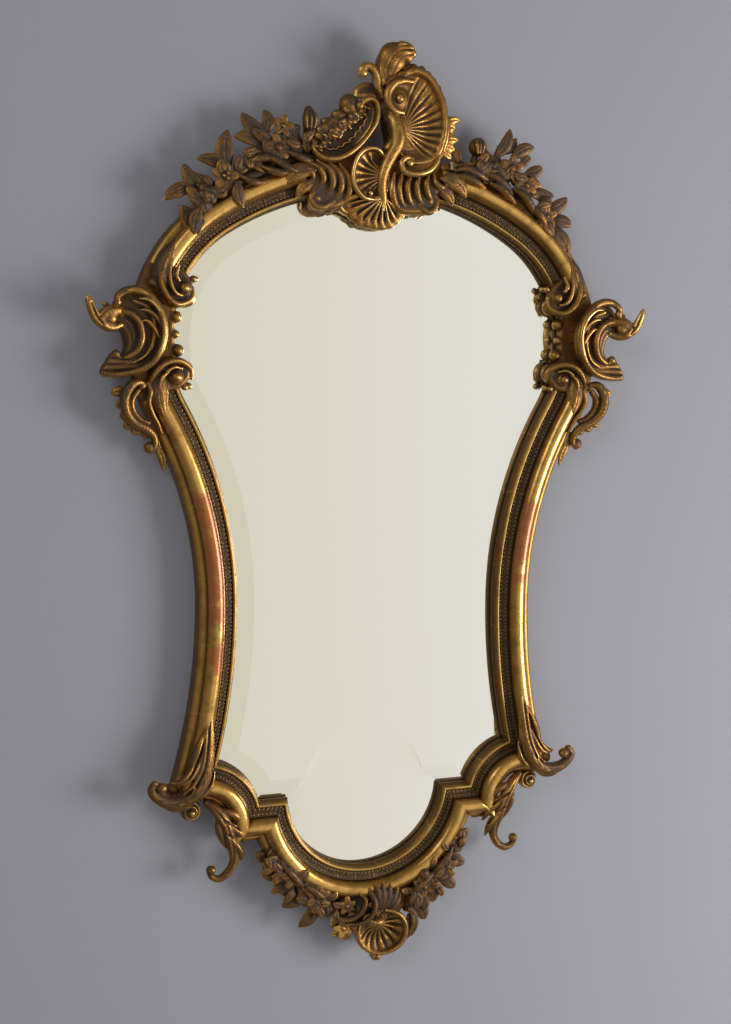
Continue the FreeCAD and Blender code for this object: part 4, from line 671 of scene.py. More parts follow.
# Crest: panel with a rolled rim and small seeded foliage
clay = Clay((-102, 27, 196), (-2, 62, 296))
dish = [(-33, 280), (-22, 284), (-13, 277), (-12, 266), (-15, 254), (-22, 242), (-32, 230), (-43, 220),
        (-56, 212), (-70, 209), (-84, 211), (-93, 218), (-94, 228), (-86, 242), (-71, 256),
        (-59, 267), (-47, 280)]
clay.plate(dish, 28, 42, 1.5, 3)
clay.stroke([(-35, 276, 53, 3.4, 4), (-31, 281, 54, 3.8, 4.5), (-23, 284, 54, 3.8, 5),
             (-15, 280, 54, 3.6, 5), (-12, 269, 54, 3.4, 5), (-14, 257, 54, 3.4, 5),
             (-21, 245, 54, 3.4, 5), (-31, 232, 54, 3.4, 5), (-42, 221, 54, 3.5, 5),
             (-56, 212, 54, 3.8, 5), (-70, 208, 54, 3.8, 5), (-83, 209, 53, 3.6, 5),
             (-92, 215, 52, 3.2, 4.6), (-95, 222, 50, 2.8, 4), (-91, 228, 47, 2.2, 3)], 1.0)
clay.ball(-47, 277, 43, 13, 11, 2.0)
clay.ball(-36, 275, 53, 5.4, 5.4, 0.7)
clay.ball(-52, 270, 47, 5, 5, 0.8)
inner = np.array(dish)
wavy = [(-22, 272), (-25, 258), (-33, 247), (-43, 235), (-55, 226), (-67, 221), (-80, 222)]
wave = spline([(x, z, 0) for x, z in wavy], 6)[:, :2]
swing = [0.9 * (-1) ** n for n in range(len(wave))]
clay.stroke([(x + s, z - s, 42.5, 1.3, 1.8) for (x, z), s in zip(wave, swing)], 0.9)
for n in range(95):
    t, side = rng.random(), rng.random()
    x = -30 - 52 * t + (side - 0.5) * 22
    z = 266 - 36 * t + (side - 0.5) * 26
    if -outline_distance(inner, np.array([x]), np.array([z]))[0, 0] < 6:
        continue
    a = rng.random() * 2 * math.pi
    r = 2.8 + 1.8 * rng.random()
    clay.stroke([(x, z, 43, r, r), (x + 4 * math.cos(a), z + 4 * math.sin(a), 44.5 + 2.5 * rng.random(),
                                    r * 0.7, r)], 1.1)
for n in range(26):
    t = rng.random()
    x, z = -52 - 38 * t + 3 * rng.normal(), 268 - 33 * t + 3 * rng.normal()
    clay.ball(x, z, 40 + 3 * rng.random(), 5.4, 5.0, 1.6)
clay.piece("crest_panel")

# Crest: polished stem, lower scroll and the two small shells
clay = Clay((-14, 34, 142), (34, 64, 282), FINE)
clay.stroke([(7, 270, 48, 5, 6), (12, 258, 53, 8.5, 6.5), (16, 244, 54, 9.5, 7), (15, 231, 54, 9, 7),
             (8, 218, 53, 8.2, 7), (1, 204, 52, 7.6, 7), (-3, 190, 51, 7, 6.5), (-3, 176, 49, 6.5, 6),
             (0, 163, 46, 5.5, 6), (1, 150, 42, 4, 5)])
clay.stroke([(4, 264, 48, 4, 6), (9, 252, 50, 4, 6), (9, 238, 50, 4, 6), (2, 226, 48, 4, 6)], 2.0)
clay.piece("crest_stem")
clay = Clay((12, 36, 184), (84, 64, 230), FINE)
clay.stroke([(37, 214, 50, 3, 4), (28, 215, 52, 3.6, 4.5), (21, 208, 53, 4, 5), (25, 198, 54, 4, 5),
             (35, 195, 55, 4, 5.5), (48, 196, 55, 4, 5.5), (60, 201, 54, 4, 5), (69, 210, 52, 3.6, 4.5),
             (75, 221, 50, 2.4, 3.5)], 1.0)
clay.ball(33, 209, 51, 6, 5.5, 0.8)
clay.piece("crest_scroll")
clay = Clay((-50, 27, 152), (14, 64, 234), FINE)
ring = [(-6, 220), (-15, 223), (-28, 221), (-38, 212), (-43, 198), (-43, 183), (-38, 172), (-28, 163),
        (-14, 160), (0, 164), (6, 180), (6, 200), (2, 214)]
clay.fan((0, 190), ring, 30, bowl(54, 45, 51), (-0.95, 0.95, 7), 3.4, 1.6, math.pi)
clay.stroke([(-3, 217, 50, 2.6, 3.5), (-9, 222, 52, 3, 4.5), (-18, 224, 53, 3, 5), (-29, 221, 53, 3.2, 5),
             (-38, 212, 53, 3.2, 5), (-43, 198, 53, 3.4, 5), (-43, 183, 53, 3.4, 5),
             (-38, 172, 53, 3.2, 5), (-28, 163, 52, 2.8, 4.5), (-15, 161, 50, 2, 3.5)], 2.2)
clay.ball(-18, 169, 47, 4, 4.5, 0.7)
clay.ball(-6, 219, 50, 3.4, 4, 0.7)
clay.piece("crest_middle_shell")
clay = Clay((-64, 24, 118), (36, 60, 174))
ring = [(-22, 168), (-40, 162), (-53, 157), (-57, 149), (-50, 143), (-40, 139), (-30, 133), (-20, 128),
        (-10, 126), (0, 125), (10, 127), (19, 131), (25, 139), (28, 147), (24, 157), (12, 166), (-4, 170)]
clay.fan((-2, 166), ring, 26, bowl(51, 38, 37, 0.9), (-2.95, -0.3, 9), 5.6, 2.0)
for n in range(9):
    a = -2.78 + 2.2 * n / 8
    edge = 36 if n > 2 else 44 - 2 * n
    x, z = -2 + edge * math.cos(a), 166 + edge * math.sin(a)
    clay.ball(x, max(z, 131.5), 33, 7, 6.4, 3.0)
clay.stroke([(-34, 166, 44, 4, 5), (-48, 161, 42, 4.5, 5), (-55, 152, 38, 4, 5), (-46, 144, 35, 3, 4)])
clay.piece("crest_lower_shell")

# Crest: leafage lying over the moulding on either side of the shells
clay = Clay((6, 24, 134), (122, 60, 214))
clay.plate([(12, 190), (12, 160), (24, 147), (45, 145), (66, 150), (76, 166), (74, 192),
            (40, 200)], 28, 46, 1.5, 6)
for points, h, w in (([(14, 196), (11, 178), (15, 161), (25, 151)], [46, 48, 46, 41], 4.6),
                     ([(25, 196), (20, 178), (24, 162), (34, 153)], [46, 48, 46, 41], 4.6),
                     ([(37, 196), (31, 180), (35, 164), (45, 156)], [46, 48, 46, 41], 4.6),
                     ([(49, 197), (44, 182), (48, 167), (58, 158)], [46, 48, 46, 41], 4.6),
                     ([(61, 197), (57, 184), (62, 170), (71, 163)], [45, 48, 46, 41], 4.6),
                     ([(68, 197), (71, 186), (79, 181), (86, 184)], [44, 47, 48, 46], 4.2)):
    finger(clay, points, h, w, 6.0, 1.4)
clay.stroke([(50, 158, 42, 4, 5), (62, 150, 42, 5, 6), (72, 155, 42, 5, 6), (74, 167, 42, 4, 5),
             (67, 172, 42, 3, 4)], 1.4)
clay.ball(65, 163, 43, 5, 5, 1.2)
clay.leaf((78, 192), (116, 170), 11, 45, 41, 0.18, 5.0, 3.0, 1.5)
clay.leaf((76, 180), (100, 160), 8, 41, 36, 0.15, 4.0, 3.0, 1.5)
for x, z in ((38, 152), (48, 150), (58, 152)):
    clay.ball(x, z, 33, 7.5, 7, 3.0)
clay.piece("crest_leafage_right")
clay = Clay((-136, 24, 134), (-40, 60, 216))
clay.plate([(-98, 203), (-70, 206), (-50, 196), (-45, 175), (-50, 155), (-66, 147), (-88, 150), (-97, 165),
            (-92, 185)], 28, 46, 1.5, 6)
for points, h, w in (([(-60, 203), (-49, 188), (-46, 170), (-54, 154)], [46, 48, 47, 41], 4.8),
                     ([(-74, 205), (-60, 191), (-57, 173), (-65, 157)], [46, 48, 47, 41], 4.8),
                     ([(-88, 206), (-72, 194), (-68, 177), (-77, 163)], [45, 48, 47, 41], 4.8),
                     ([(-101, 204), (-86, 196), (-80, 183), (-88, 171)], [44, 47, 46, 41], 4.6),
                     ([(-106, 200), (-99, 194), (-93, 186), (-98, 176)], [42, 45, 44, 40], 4.0)):
    finger(clay, points, h, w, 6.0, 1.4)
clay.stroke([(-66, 157, 42, 4, 5), (-78, 150, 42, 5, 6), (-90, 152, 42, 5, 6), (-95, 162, 42, 4, 5),
             (-88, 169, 42, 3, 4)], 1.4)
clay.ball(-87, 160, 43, 5, 5, 1.2)
clay.leaf((-92, 193), (-130, 173), 11, 45, 41, -0.18, 5.0, 3.0, 1.5)
clay.leaf((-90, 180), (-112, 160), 8, 41, 36, -0.15, 4.0, 3.0, 1.5)
for x, z in ((-58, 152), (-69, 149), (-80, 150), (-89, 153)):
    clay.ball(x, z, 33, 7.5, 7, 3.0)
clay.piece("crest_leafage_left")

# Wings at the shoulders: a dished scroll open outwards
clay = Clay((274, 26, -72), (366, 64, 50))
clay.plate([(316, 38), (297, 28), (284, 10), (281, -12), (288, -38), (309, -57), (337, -64), (356, -62),
            (353, -49), (335, -41), (326, -25), (331, -8), (345, 0), (343, 22), (331, 36)], 27, 47, 1.5, 5)
clay.stroke([(341, 22, 56, 3.4, 3.6), (339, 32, 57, 4.4, 4.6), (329, 39, 57, 5, 5),
             (315, 40, 57, 5.4, 5.5), (301, 33, 56, 5.4, 6), (290, 20, 56, 5, 6.5), (284, 4, 56, 4.8, 7),
             (283, -12, 56, 4.8, 7), (287, -30, 56, 4.6, 7), (296, -45, 55, 4.4, 6),
             (312, -56, 52, 4.2, 5), (334, -61, 47, 4, 4.5), (355, -62, 42, 3.2, 4)], 1.0)
clay.ball(339, 25, 56, 4.8, 4.8, 0.8)
clay.stroke([(319, 27, 54, 2.4, 3), (306, 22, 54, 3, 3.5), (297, 11, 53, 3, 3.6), (294, -5, 52, 2.8, 3.6),
             (296, -23, 51, 2.6, 3.4), (304, -38, 49, 2.4, 3), (318, -47, 46, 2, 2.6)], 0.8)
clay.stroke([(336, 15, 49, 5, 6), (323, 12, 50, 5, 6.5), (313, 3, 50, 5, 7), (309, -10, 50, 4.8, 7),
             (310, -23, 50, 4.6, 7), (316, -34, 48, 4.4, 6.5), (328, -42, 45, 4, 5.5)], 1.0)
clay.stroke([(334, 6, 42, 4, 5), (323, 0, 43, 3.6, 5), (318, -12, 43, 3.6, 5), (319, -25, 42, 3.4, 5),
             (327, -36, 40, 3.2, 5)], 1.0)
for points, h in (([(286, 6), (292, 20), (303, 29), (314, 30)], 60),
                  ([(285, -6), (292, 8), (303, 16), (312, 17)], 57),
                  ([(287, -20), (294, -6), (302, 3), (308, 4)], 55)):
    finger(clay, points, h, 2.6, 3.2, 0.7)
clay.plate([(314, -42), (328, -40), (338, -34), (346, -38), (353, -50), (357, -62), (338, -66), (318, -61),
            (308, -52)], 27, 47, 1.5, 5)
for points in ([(318, -45), (334, -43), (348, -41)], [(314, -50), (334, -49), (354, -49)],
               [(312, -55), (334, -56), (357, -57)]):
    clay.stroke(path(points, [49, 48, 47], [0.6, 1.0, 1.3], 2.4), 0.8, True)
clay.ball(339, -37, 42, 5.6, 6, 1.5)
clay.piece("wing_scroll", "each")
clay = Clay((328, 28, -16), (384, 66, 40), FINE)
clay.stroke([(330, 14, 46, 7, 7), (342, 15, 50, 8, 7), (353, 11, 53, 8, 6.5), (359, 4, 54, 7, 6),
             (354, -3, 53, 6, 6), (344, -5, 49, 5.6, 6), (334, -2, 45, 4.6, 6)], 2.0)
clay.ball(348, 6, 52, 9, 7, 2.0)
clay.stroke([(354, -2, 54, 5, 5.5), (363, 4, 56, 6.4, 5.5), (369, 14, 58, 6.2, 4.6), (373, 24, 59, 5, 3.6),
             (375, 30, 59, 3.4, 2.6)], 1.6)
clay.stroke([(357, -1, 61, 1.3, 2.6), (365, 9, 62, 1.4, 2.6), (371, 24, 63, 1.2, 2.4)], 1.0, True)
clay.stroke([(336, 20, 56, 1.2, 2.4), (350, 17, 60, 1.4, 2.6), (361, 7, 61, 1.3, 2.6)], 1.0, True)
clay.stroke([(346, 16, 46, 5, 5), (353, 23, 43, 3.6, 4)], 1.4)
clay.piece("wing_prong", "each")

# Wings: the comma below, its fringe of leaf tips and its tail
clay = Clay((270, 12, -192), (354, 56, -58))
clay.stroke([(304, -76, 42, 3, 4), (309, -71, 44, 4, 5), (319, -73, 46, 6, 6), (327, -84, 46, 6.4, 6.5),
             (329, -97, 45, 6.4, 6.5), (325, -110, 43, 6.2, 6.5), (315, -121, 40, 6, 6),
             (301, -128, 37, 5.6, 6), (291, -138, 34, 5, 5.5), (289, -150, 32, 3.8, 5),
             (295, -158, 31, 3, 4)], 1.0)
clay.stroke([(300, -72, 42, 3, 5), (297, -82, 44, 3.6, 6), (299, -95, 43, 3.6, 6), (294, -109, 40, 3.4, 6),
             (287, -121, 37, 3, 5), (281, -134, 34, 2.4, 4)], 1.0)
clay.stroke([(311, -80, 40, 4, 5), (319, -92, 39, 4.4, 6), (317, -106, 37, 4, 6), (307, -117, 35, 3.6, 6),
             (297, -121, 34, 3, 5)])
clay.ball(307, -75, 43, 5.2, 5, 0.8)
for base, tip, h in (((326, -84), (349, -86), 36), ((325, -98), (340, -101), 35),
                     ((321, -110), (334, -116), 34), ((314, -120), (331, -131), 33),
                     ((306, -126), (319, -138), 32), ((297, -130), (303, -141), 31)):
    clay.leaf(base, (0.75 * tip[0] + 0.25 * base[0], 0.75 * tip[1] + 0.25 * base[1]), 7, h, h - 2,
              0.12, 3.4, 1.5, 1.6)
clay.ball(296, -152, 31, 7.4, 6, 0.8)
clay.leaf((290, -146), (276, -184), 6, 26, 20, -0.1, 2.4)
clay.leaf((287, -136), (279, -158), 4, 28, 24, 0.1, 2.0)
clay.piece("wing_comma", "each")

# Wings: clasps with buttons where the mouldings end, and the balls along the sight edge
clay = Clay((226, 14, -128), (306, 60, 112))
for x, z, r in ((250, 33, 12), (253, -57, 13)):
    clay.ball(x, z, 28, r, 10)
clay.plate([(246, 28), (262, 20), (280, 26), (290, 42), (290, 66), (282, 84), (272, 88), (264, 74),
            (250, 62), (243, 48)], 24, 39, 2.0, 6)
clay.plate([(246, -66), (246, -52), (258, -42), (278, -40), (294, -52), (299, -68), (292, -92),
            (284, -100), (276, -84), (258, -78)], 24, 41, 2.0, 6)
clay.stroke([(284, 44, 36, 9, 9), (281, 64, 38, 13, 10), (275, 82, 38, 11, 10), (268, 96, 37, 5, 8),
             (264, 104, 36, 1.5, 5)], 1.5)
clay.stroke([(285, -64, 38, 9, 9), (287, -82, 39, 13, 10), (284, -98, 39, 10, 10), (280, -112, 38, 4, 8),
             (277, -120, 37, 1.5, 5)], 1.5)
clay.stroke([(281, 60, 49, 0.9, 2), (275, 78, 50, 1.0, 2.4), (267, 97, 47, 0.7, 2)], 0.8, True)
clay.stroke([(287, -78, 50, 0.9, 2), (285, -94, 51, 1.0, 2.4), (279, -113, 47, 0.7, 2)], 0.8, True)
clay.ball(255, 45, 37, 9.5, 6)
clay.ball(255, 45, 42, 6, 5, 0.6)
clay.ball(266, -64, 42, 9, 6)
clay.ball(266, -64, 47, 5.6, 5, 0.6)
clay.stroke([(274, 92, 34, 2.4, 3), (281, 80, 38, 3.8, 5), (285, 64, 42, 4.4, 6), (284, 48, 44, 4.6, 6.5),
             (277, 34, 44, 4.6, 6.5), (265, 25, 42, 4.4, 6), (252, 27, 38, 3.8, 5), (244, 34, 35, 3.2, 4),
             (243, 45, 33, 2.4, 3)], 1.0)
clay.stroke([(270, 78, 44, 2, 3), (274, 64, 45, 3, 4), (272, 48, 45, 3, 4.5), (266, 38, 44, 2.8, 4),
             (258, 35, 42, 2, 3)], 0.8)
clay.stroke([(262, 72, 44, 1.8, 3), (266, 60, 46, 2.8, 4), (262, 53, 45, 2.2, 3.4)], 0.8)
clay.ball(293, 50, 38, 6, 6, 0.8)
clay.stroke([(284, 44, 40, 3.4, 4.5), (290, 47, 40, 3.4, 4.5), (294, 50, 39, 3, 4)], 0.8)
clay.stroke([(244, -66, 34, 2.4, 3), (246, -55, 37, 3.4, 4.5), (253, -48, 41, 4, 5.5),
             (264, -44, 45, 4.4, 6), (277, -46, 47, 4.6, 6.5), (288, -54, 47, 4.6, 6.5),
             (296, -66, 45, 3.4, 5), (298, -74, 42, 2, 3)], 1.0)
clay.stroke([(276, -58, 47, 2.4, 3.5), (284, -66, 47, 3, 4.5), (287, -80, 44, 2.8, 4.5),
             (284, -96, 40, 2, 3)], 0.8)
clay.stroke([(258, -54, 43, 2, 3), (268, -52, 47, 2.6, 3.5), (277, -57, 48, 2.2, 3)], 0.8)
for x, z in ((242, 56), (252, -77)):
    clay.ball(x, z, 32, 4.4, 5, 0.8)
clay.ball(246, -76, 28, 4.4, 5, 0.8)
clay.ball(238, 56, 27, 4, 4, 0.8)
clay.piece("wing_clasps", "both")
clay = Clay((248, 18, -50), (276, 44, 26), FINEST)
clay.plate([(263, 20), (270, 22), (274, 0), (274, -24), (270, -44), (262, -42), (264, -20),
            (264, 0)], 20, 31, 2.0, 4)
for x, z, r in ((262, 9, 7.4), (263, -12, 5.4), (260, -32, 8)):
    clay.ball(x, z, 27, r, r, 2.0)
clay.piece("sight_balls", "both")

# Feet: acanthus scrolls at the lower corners, spiral buttons under them
clay = Clay((194, 14, -626), (310, 62, -464))
clay.stroke([(219, -486, 40, 2, 2.5), (221, -504, 43, 5, 5), (223, -530, 46, 8, 6.5),
             (226, -556, 48, 10, 8), (232, -578, 49, 11, 9), (243, -595, 49, 10.5, 9),
             (258, -604, 48, 9.4, 8.5), (275, -603, 48, 8, 8), (289, -596, 48, 6.8, 7),
             (296, -586, 48, 5.8, 6.5), (292, -577, 48, 4.6, 5.5)], 1.5)
clay.ball(284, -583, 50, 7.4, 7.4, 0.8)
for points, h, w in (([(224, -512), (236, -536), (243, -558), (246, -574)], [44, 48, 48, 44], 6.0),
                     ([(232, -546), (244, -566), (256, -577), (268, -579)], [48, 51, 50, 46], 6.0),
                     ([(220, -556), (220, -576), (228, -594), (243, -605)], [46, 48, 48, 46], 6.0),
                     ([(238, -596), (252, -609), (268, -612), (286, -606)], [46, 47, 46, 45], 5.0)):
    finger(clay, points, h, w, w, 1.6)
for points in ([(221, -500), (224, -530), (229, -560), (240, -584)],
               [(234, -570), (247, -590), (265, -596), (284, -591)],
               [(216, -560), (221, -582), (236, -601), (258, -610)],
               [(229, -524), (238, -552), (251, -574), (268, -584)]):
    clay.stroke(path(points, [48, 53, 57, 57], 1.6, 3.2), 1.4, True)
clay.piece("foot_scroll", "each")
clay = Clay((222, 12, -644), (282, 48, -576), FINE)
clay.ball(241, -624, 24, 13.6, 12)
turns = np.linspace(0, 4.6 * math.pi, 40)
clay.stroke([(241 + (12.4 - 0.75 * t) * math.cos(t + 1), -624 + (12.4 - 0.75 * t) * math.sin(t + 1),
              30 + 0.45 * t, 1.8, 2.6) for t in turns], 0.6, False, 1.4)
clay.ball(241, -624, 38, 3.4, 3.4, 0.6)
clay.ball(265, -594, 26, 10, 10)
clay.piece("foot_discs", "both")

# Pendant acanthus leaves under the ears
clay = Clay((156, 12, -734), (234, 60, -600))
clay.stroke([(222, -612, 36, 5, 6), (212, -620, 41, 7, 7), (204, -631, 44, 8, 7.5),
             (196, -647, 44, 8, 7.5), (191, -665, 42, 7.4, 7), (186, -683, 39, 6.6, 6.6),
             (186, -696, 37, 6, 6.2), (193, -709, 36, 5.6, 6), (204, -716, 36, 5, 5.4),
             (214, -713, 36, 4.4, 5), (218, -706, 37, 3.8, 4.4)], 1.5)
clay.ball(216, -703, 37, 6.4, 6.4, 0.8)
for points, h, w in (([(206, -622), (191, -627), (181, -636), (174, -648)], [43, 44, 41, 35], 5.4),
                     ([(200, -638), (186, -648), (176, -660), (170, -674)], [43, 44, 41, 35], 5.4),
                     ([(195, -657), (183, -670), (177, -683), (174, -696)], [42, 43, 40, 35], 5.0),
                     ([(208, -628), (208, -644), (203, -660), (197, -674)], [43, 44, 41, 38], 4.8)):
    finger(clay, points, h, w, 5.4, 1.4)
for points in ([(202, -634), (188, -642), (178, -652)], [(196, -654), (183, -664), (175, -676)],
               [(190, -674), (181, -688), (178, -700)]):
    clay.stroke(path(points, [51, 49, 43], 1.5, 3.0), 1.4, True)
clay.stroke(path([(214, -618), (202, -634), (194, -654), (188, -678), (188, -696), (196, -708)],
                 [50, 53, 53, 48, 45, 43], 1.5, 3.0), 1.4, True)
clay.piece("pendant_leaf", "each")


def foliage(clay, leaves, fingers):
    for base, tip, w, h in leaves:
        bend = 0.10 if (tip[0] + tip[1] * 3) % 2 < 1 else -0.10
        far = (tip[0] + 0.12 * (tip[0] - base[0]), tip[1] + 0.12 * (tip[1] - base[1]))
        clay.leaf(base, far, w * 1.3, h, h - 1, bend, 2.8, 2.4)
    for points, h, w in fingers:
        finger(clay, points, h, w, w, 0.9)


def thicket(clay, line, spread, count, h, size):
    """Small leaves crowded along a line, as the carver filled in behind the flowers."""
    way = spline([(x, z, 0) for x, z in line], 2.0)[:, :2]
    for n in range(count):
        x, z = way[int(rng.random() * (len(way) - 1))]
        x, z = x + spread * rng.normal() * 0.55, z + spread * rng.normal() * 0.55
        a = rng.random() * 2 * math.pi
        length = size * (0.8 + 0.5 * rng.random())
        low = h + 9 * rng.random() - 1
        clay.leaf((x, z), (x + length * math.cos(a), z + length * math.sin(a)), size * 0.36, low,
                  low + 2, 0.12, 2.6, 2.0)


# Flower sprays along the arch
clay = Clay((-282, 8, 96), (-78, 62, 276))
clay.stroke([(-92, 212, 26, 7, 9), (-120, 206, 27, 9, 10), (-150, 194, 27, 10, 10),
             (-180, 178, 27, 10, 10), (-208, 160, 27, 9, 10), (-232, 140, 27, 7, 9),
             (-246, 122, 27, 4, 6)], 1.5)
for points in ([(-98, 214), (-99, 236), (-97, 256)], [(-132, 208), (-134, 230), (-132, 246)],
               [(-150, 200), (-154, 226), (-156, 244)], [(-196, 174), (-200, 196)],
               [(-220, 154), (-236, 164), (-252, 166)]):
    clay.stroke(path(points, [28, 32, 34], 4.2, 5.5), 1.5)
foliage(clay, (((-243, 166), (-276, 151), 7, 37), ((-241, 170), (-253, 191), 6.5, 36),
               ((-258, 142), (-248, 112), 8, 38), ((-236, 142), (-243, 112), 6.5, 46),
               ((-200, 190), (-200, 232), 9, 36), ((-204, 192), (-235, 200), 6.5, 36),
               ((-190, 174), (-184, 147), 6.5, 48), ((-156, 236), (-180, 256), 7.5, 36),
               ((-150, 238), (-154, 261), 6.5, 36), ((-152, 221), (-188, 229), 7.5, 36),
               ((-122, 228), (-110, 246), 6, 36), ((-146, 228), (-168, 240), 6, 40),
               ((-214, 168), (-240, 182), 6, 38), ((-106, 226), (-120, 240), 5.5, 36),
               ((-222, 150), (-246, 142), 6, 42)), (([(-155, 208), (-140, 202), (-124, 194), (-110, 190)],
        [44, 48, 49, 46], 5.0), ([(-158, 194), (-146, 190), (-134, 188), (-124, 190)], [44, 48, 49, 46],
                                 4.6), ([(-186, 182), (-176, 177), (-166, 175), (-156, 176)],
                                        [44, 48, 48, 46], 4.6),
        ([(-130, 216), (-114, 210), (-102, 206), (-92, 206)], [42, 46, 46, 42], 5.0),
        ([(-176, 198), (-164, 204), (-150, 206), (-138, 202)], [40, 44, 45, 42], 5.0),
        ([(-228, 128), (-236, 122), (-240, 112), (-240, 104)], [42, 44, 42, 38], 4.4)))
thicket(clay, ((-100, 222), (-130, 218), (-160, 208), (-190, 188), (-215, 168),
               (-236, 146)), 14, 46, 36, 17)
clay.rose(-229, 157, 42, 13.5, 0.4)
clay.flower(-205, 180, 44, 15, 0.2)
for x, z in ((-208, 181), (-203, 178), (-203, 184)):
    clay.ball(x, z, 49, 2.6, 2.6, 0.5)
clay.flower(-139, 219, 43, 15, 0.5)
clay.ball(-138, 219, 45, 5, 4, 0.6)
clay.flower(-131, 246, 38, 12, 0.1)
clay.stroke([(-97, 246, 36, 7, 8), (-97, 258, 38, 8.6, 9), (-98, 268, 37, 5, 6)], 1.0)
for dx in (-5, 0, 5):
    clay.stroke([(-97 + dx, 246, 43, 2.4, 3), (-97 + dx * 1.2, 257, 46, 2.6, 3),
                 (-97 + dx * 0.5, 268, 42, 1.6, 2)], 0.6)
clay.flower(-170, 205, 40, 11, 0.8)
clay.piece("spray_left")
clay = Clay((92, 8, 90), (274, 62, 264))
clay.stroke([(102, 208, 26, 7, 9), (130, 202, 27, 9, 10), (160, 190, 27, 10, 10), (188, 173, 27, 10, 10),
             (214, 154, 27, 9, 10), (236, 134, 27, 7, 9), (250, 116, 27, 4, 6)], 1.5)
for points in ([(126, 204), (130, 220), (133, 234)], [(154, 196), (160, 220), (166, 238)],
               [(176, 184), (180, 204), (186, 224)], [(200, 170), (206, 190), (214, 206)],
               [(222, 150), (236, 158), (248, 164)]):
    clay.stroke(path(points, [28, 32, 34], 4.2, 5.5), 1.5)
foliage(clay, (((160, 226), (177, 258), 7, 36), ((168, 232), (188, 249), 6, 32),
               ((184, 226), (211, 239), 7, 36), ((203, 206), (224, 215), 6.5, 36),
               ((212, 184), (241, 180), 7, 38), ((235, 160), (261, 176), 7, 38),
               ((243, 146), (269, 141), 7, 38), ((240, 136), (265, 103), 9, 40),
               ((150, 212), (146, 232), 6, 34), ((196, 214), (208, 226), 5, 36),
               ((172, 198), (156, 214), 6, 42), ((222, 168), (238, 170), 5, 42),
               ((164, 214), (152, 226), 5, 36), ((226, 142), (240, 128), 6, 44)),
        (([(100, 204), (116, 206), (132, 200), (146, 194)], [42, 46, 46, 42], 5.4),
         ([(96, 196), (112, 196), (128, 190), (142, 184)], [44, 48, 48, 44], 5.0),
         ([(140, 202), (156, 198), (170, 188), (182, 178)], [42, 46, 46, 42], 5.4),
         ([(150, 190), (164, 184), (176, 174), (186, 166)], [44, 47, 47, 44], 4.8),
         ([(184, 184), (198, 176), (208, 164), (216, 152)], [42, 46, 46, 42], 5.2),
         ([(206, 166), (218, 156), (228, 144), (234, 132)], [42, 46, 45, 42], 5.0)))
thicket(clay, ((108, 208), (140, 208), (170, 198), (195, 182), (218, 164), (236, 146)), 13, 44, 36, 17)
clay.ball(133, 236, 36, 12, 11, 1.0)
for a in (0.4, 1.4, 2.4):
    clay.stroke([(133 - 4 * math.cos(a), 228, 44, 2.2, 3), (133 - 6 * math.cos(a), 238, 46, 2.6, 3),
                 (133 - 2 * math.cos(a), 246, 42, 1.6, 2)], 0.6)
clay.flower(180, 212, 42, 15, 0.2)
clay.flower(201, 190, 43, 14, 0.7)
clay.flower(232, 151, 44, 14, 0.4)
clay.flower(152, 206, 42, 12, 0.9)
clay.piece("spray_right")

# Base: garlands, ribbon and the shell with its drop
clay = Clay((-160, 8, -800), (-44, 62, -676))
clay.stroke([(-140, -692, 24, 6, 8), (-126, -716, 25, 8, 9), (-106, -738, 26, 9, 9), (-82, -756, 26, 9, 9),
             (-60, -770, 26, 7, 9)], 1.5)
foliage(clay, (((-118, -714), (-143, -717), 7.5, 36), ((-102, -736), (-122, -739), 7, 36),
               ((-85, -757), (-114, -765), 8, 34), ((-72, -768), (-92, -794), 8, 34),
               ((-130, -704), (-132, -684), 6, 36), ((-112, -708), (-126, -698), 6, 40),
               ((-90, -742), (-98, -756), 6, 40), ((-60, -762), (-56, -782), 6, 38),
               ((-136, -700), (-150, -690), 6, 30), ((-70, -758), (-84, -772), 6, 42),
               ((-94, -728), (-86, -716), 5, 44)), (([(-122, -704), (-112, -714), (-100, -728),
        (-92, -740)], [42, 46, 46, 42], 4.6), ([(-92, -734), (-80, -742), (-68, -752), (-58, -758)],
        [42, 46, 46, 42], 4.6)))
thicket(clay, ((-134, -700), (-118, -722), (-98, -742), (-76, -758), (-58, -772)), 11, 34, 36, 16)
clay.flower(-107, -722, 44, 15, 0.4)
clay.flower(-73, -752, 44, 16, 0.1)
clay.flower(-128, -700, 38, 11, 0.7)
clay.piece("garland_left")
clay = Clay((48, 8, -838), (160, 62, -680))
clay.stroke([(140, -692, 24, 6, 8), (126, -716, 25, 8, 9), (106, -738, 26, 9, 9), (84, -756, 26, 9, 9),
             (66, -772, 26, 7, 9), (62, -792, 26, 5, 7)], 1.5)
foliage(clay, (((122, -727), (139, -731), 7, 38), ((108, -752), (127, -765), 7, 36),
               ((90, -757), (96, -780), 7, 38), ((132, -706), (137, -686), 6, 36),
               ((118, -714), (130, -702), 6, 38), ((100, -742), (112, -748), 5, 42),
               ((72, -784), (86, -806), 8, 32), ((62, -798), (58, -830), 6, 36),
               ((66, -790), (68, -826), 5, 34), ((134, -700), (150, -690), 6, 30),
               ((70, -764), (62, -780), 6, 42), ((80, -772), (84, -790), 6, 38)),
        (([(122, -706), (114, -718), (102, -730), (92, -740)], [42, 46, 46, 42], 4.6),
         ([(96, -738), (84, -746), (72, -756), (62, -764)], [42, 46, 46, 42], 4.6),
         ([(62, -790), (66, -800), (66, -812), (60, -822)], [38, 42, 42, 40], 3.6)))
thicket(clay, ((134, -700), (118, -722), (100, -740), (82, -756), (66, -774)), 11, 34, 36, 16)
clay.flower(115, -732, 43, 14, 0.3)
clay.flower(82, -758, 42, 14, 0.8)
clay.ball(80, -738, 44, 8.6, 8, 0.9)
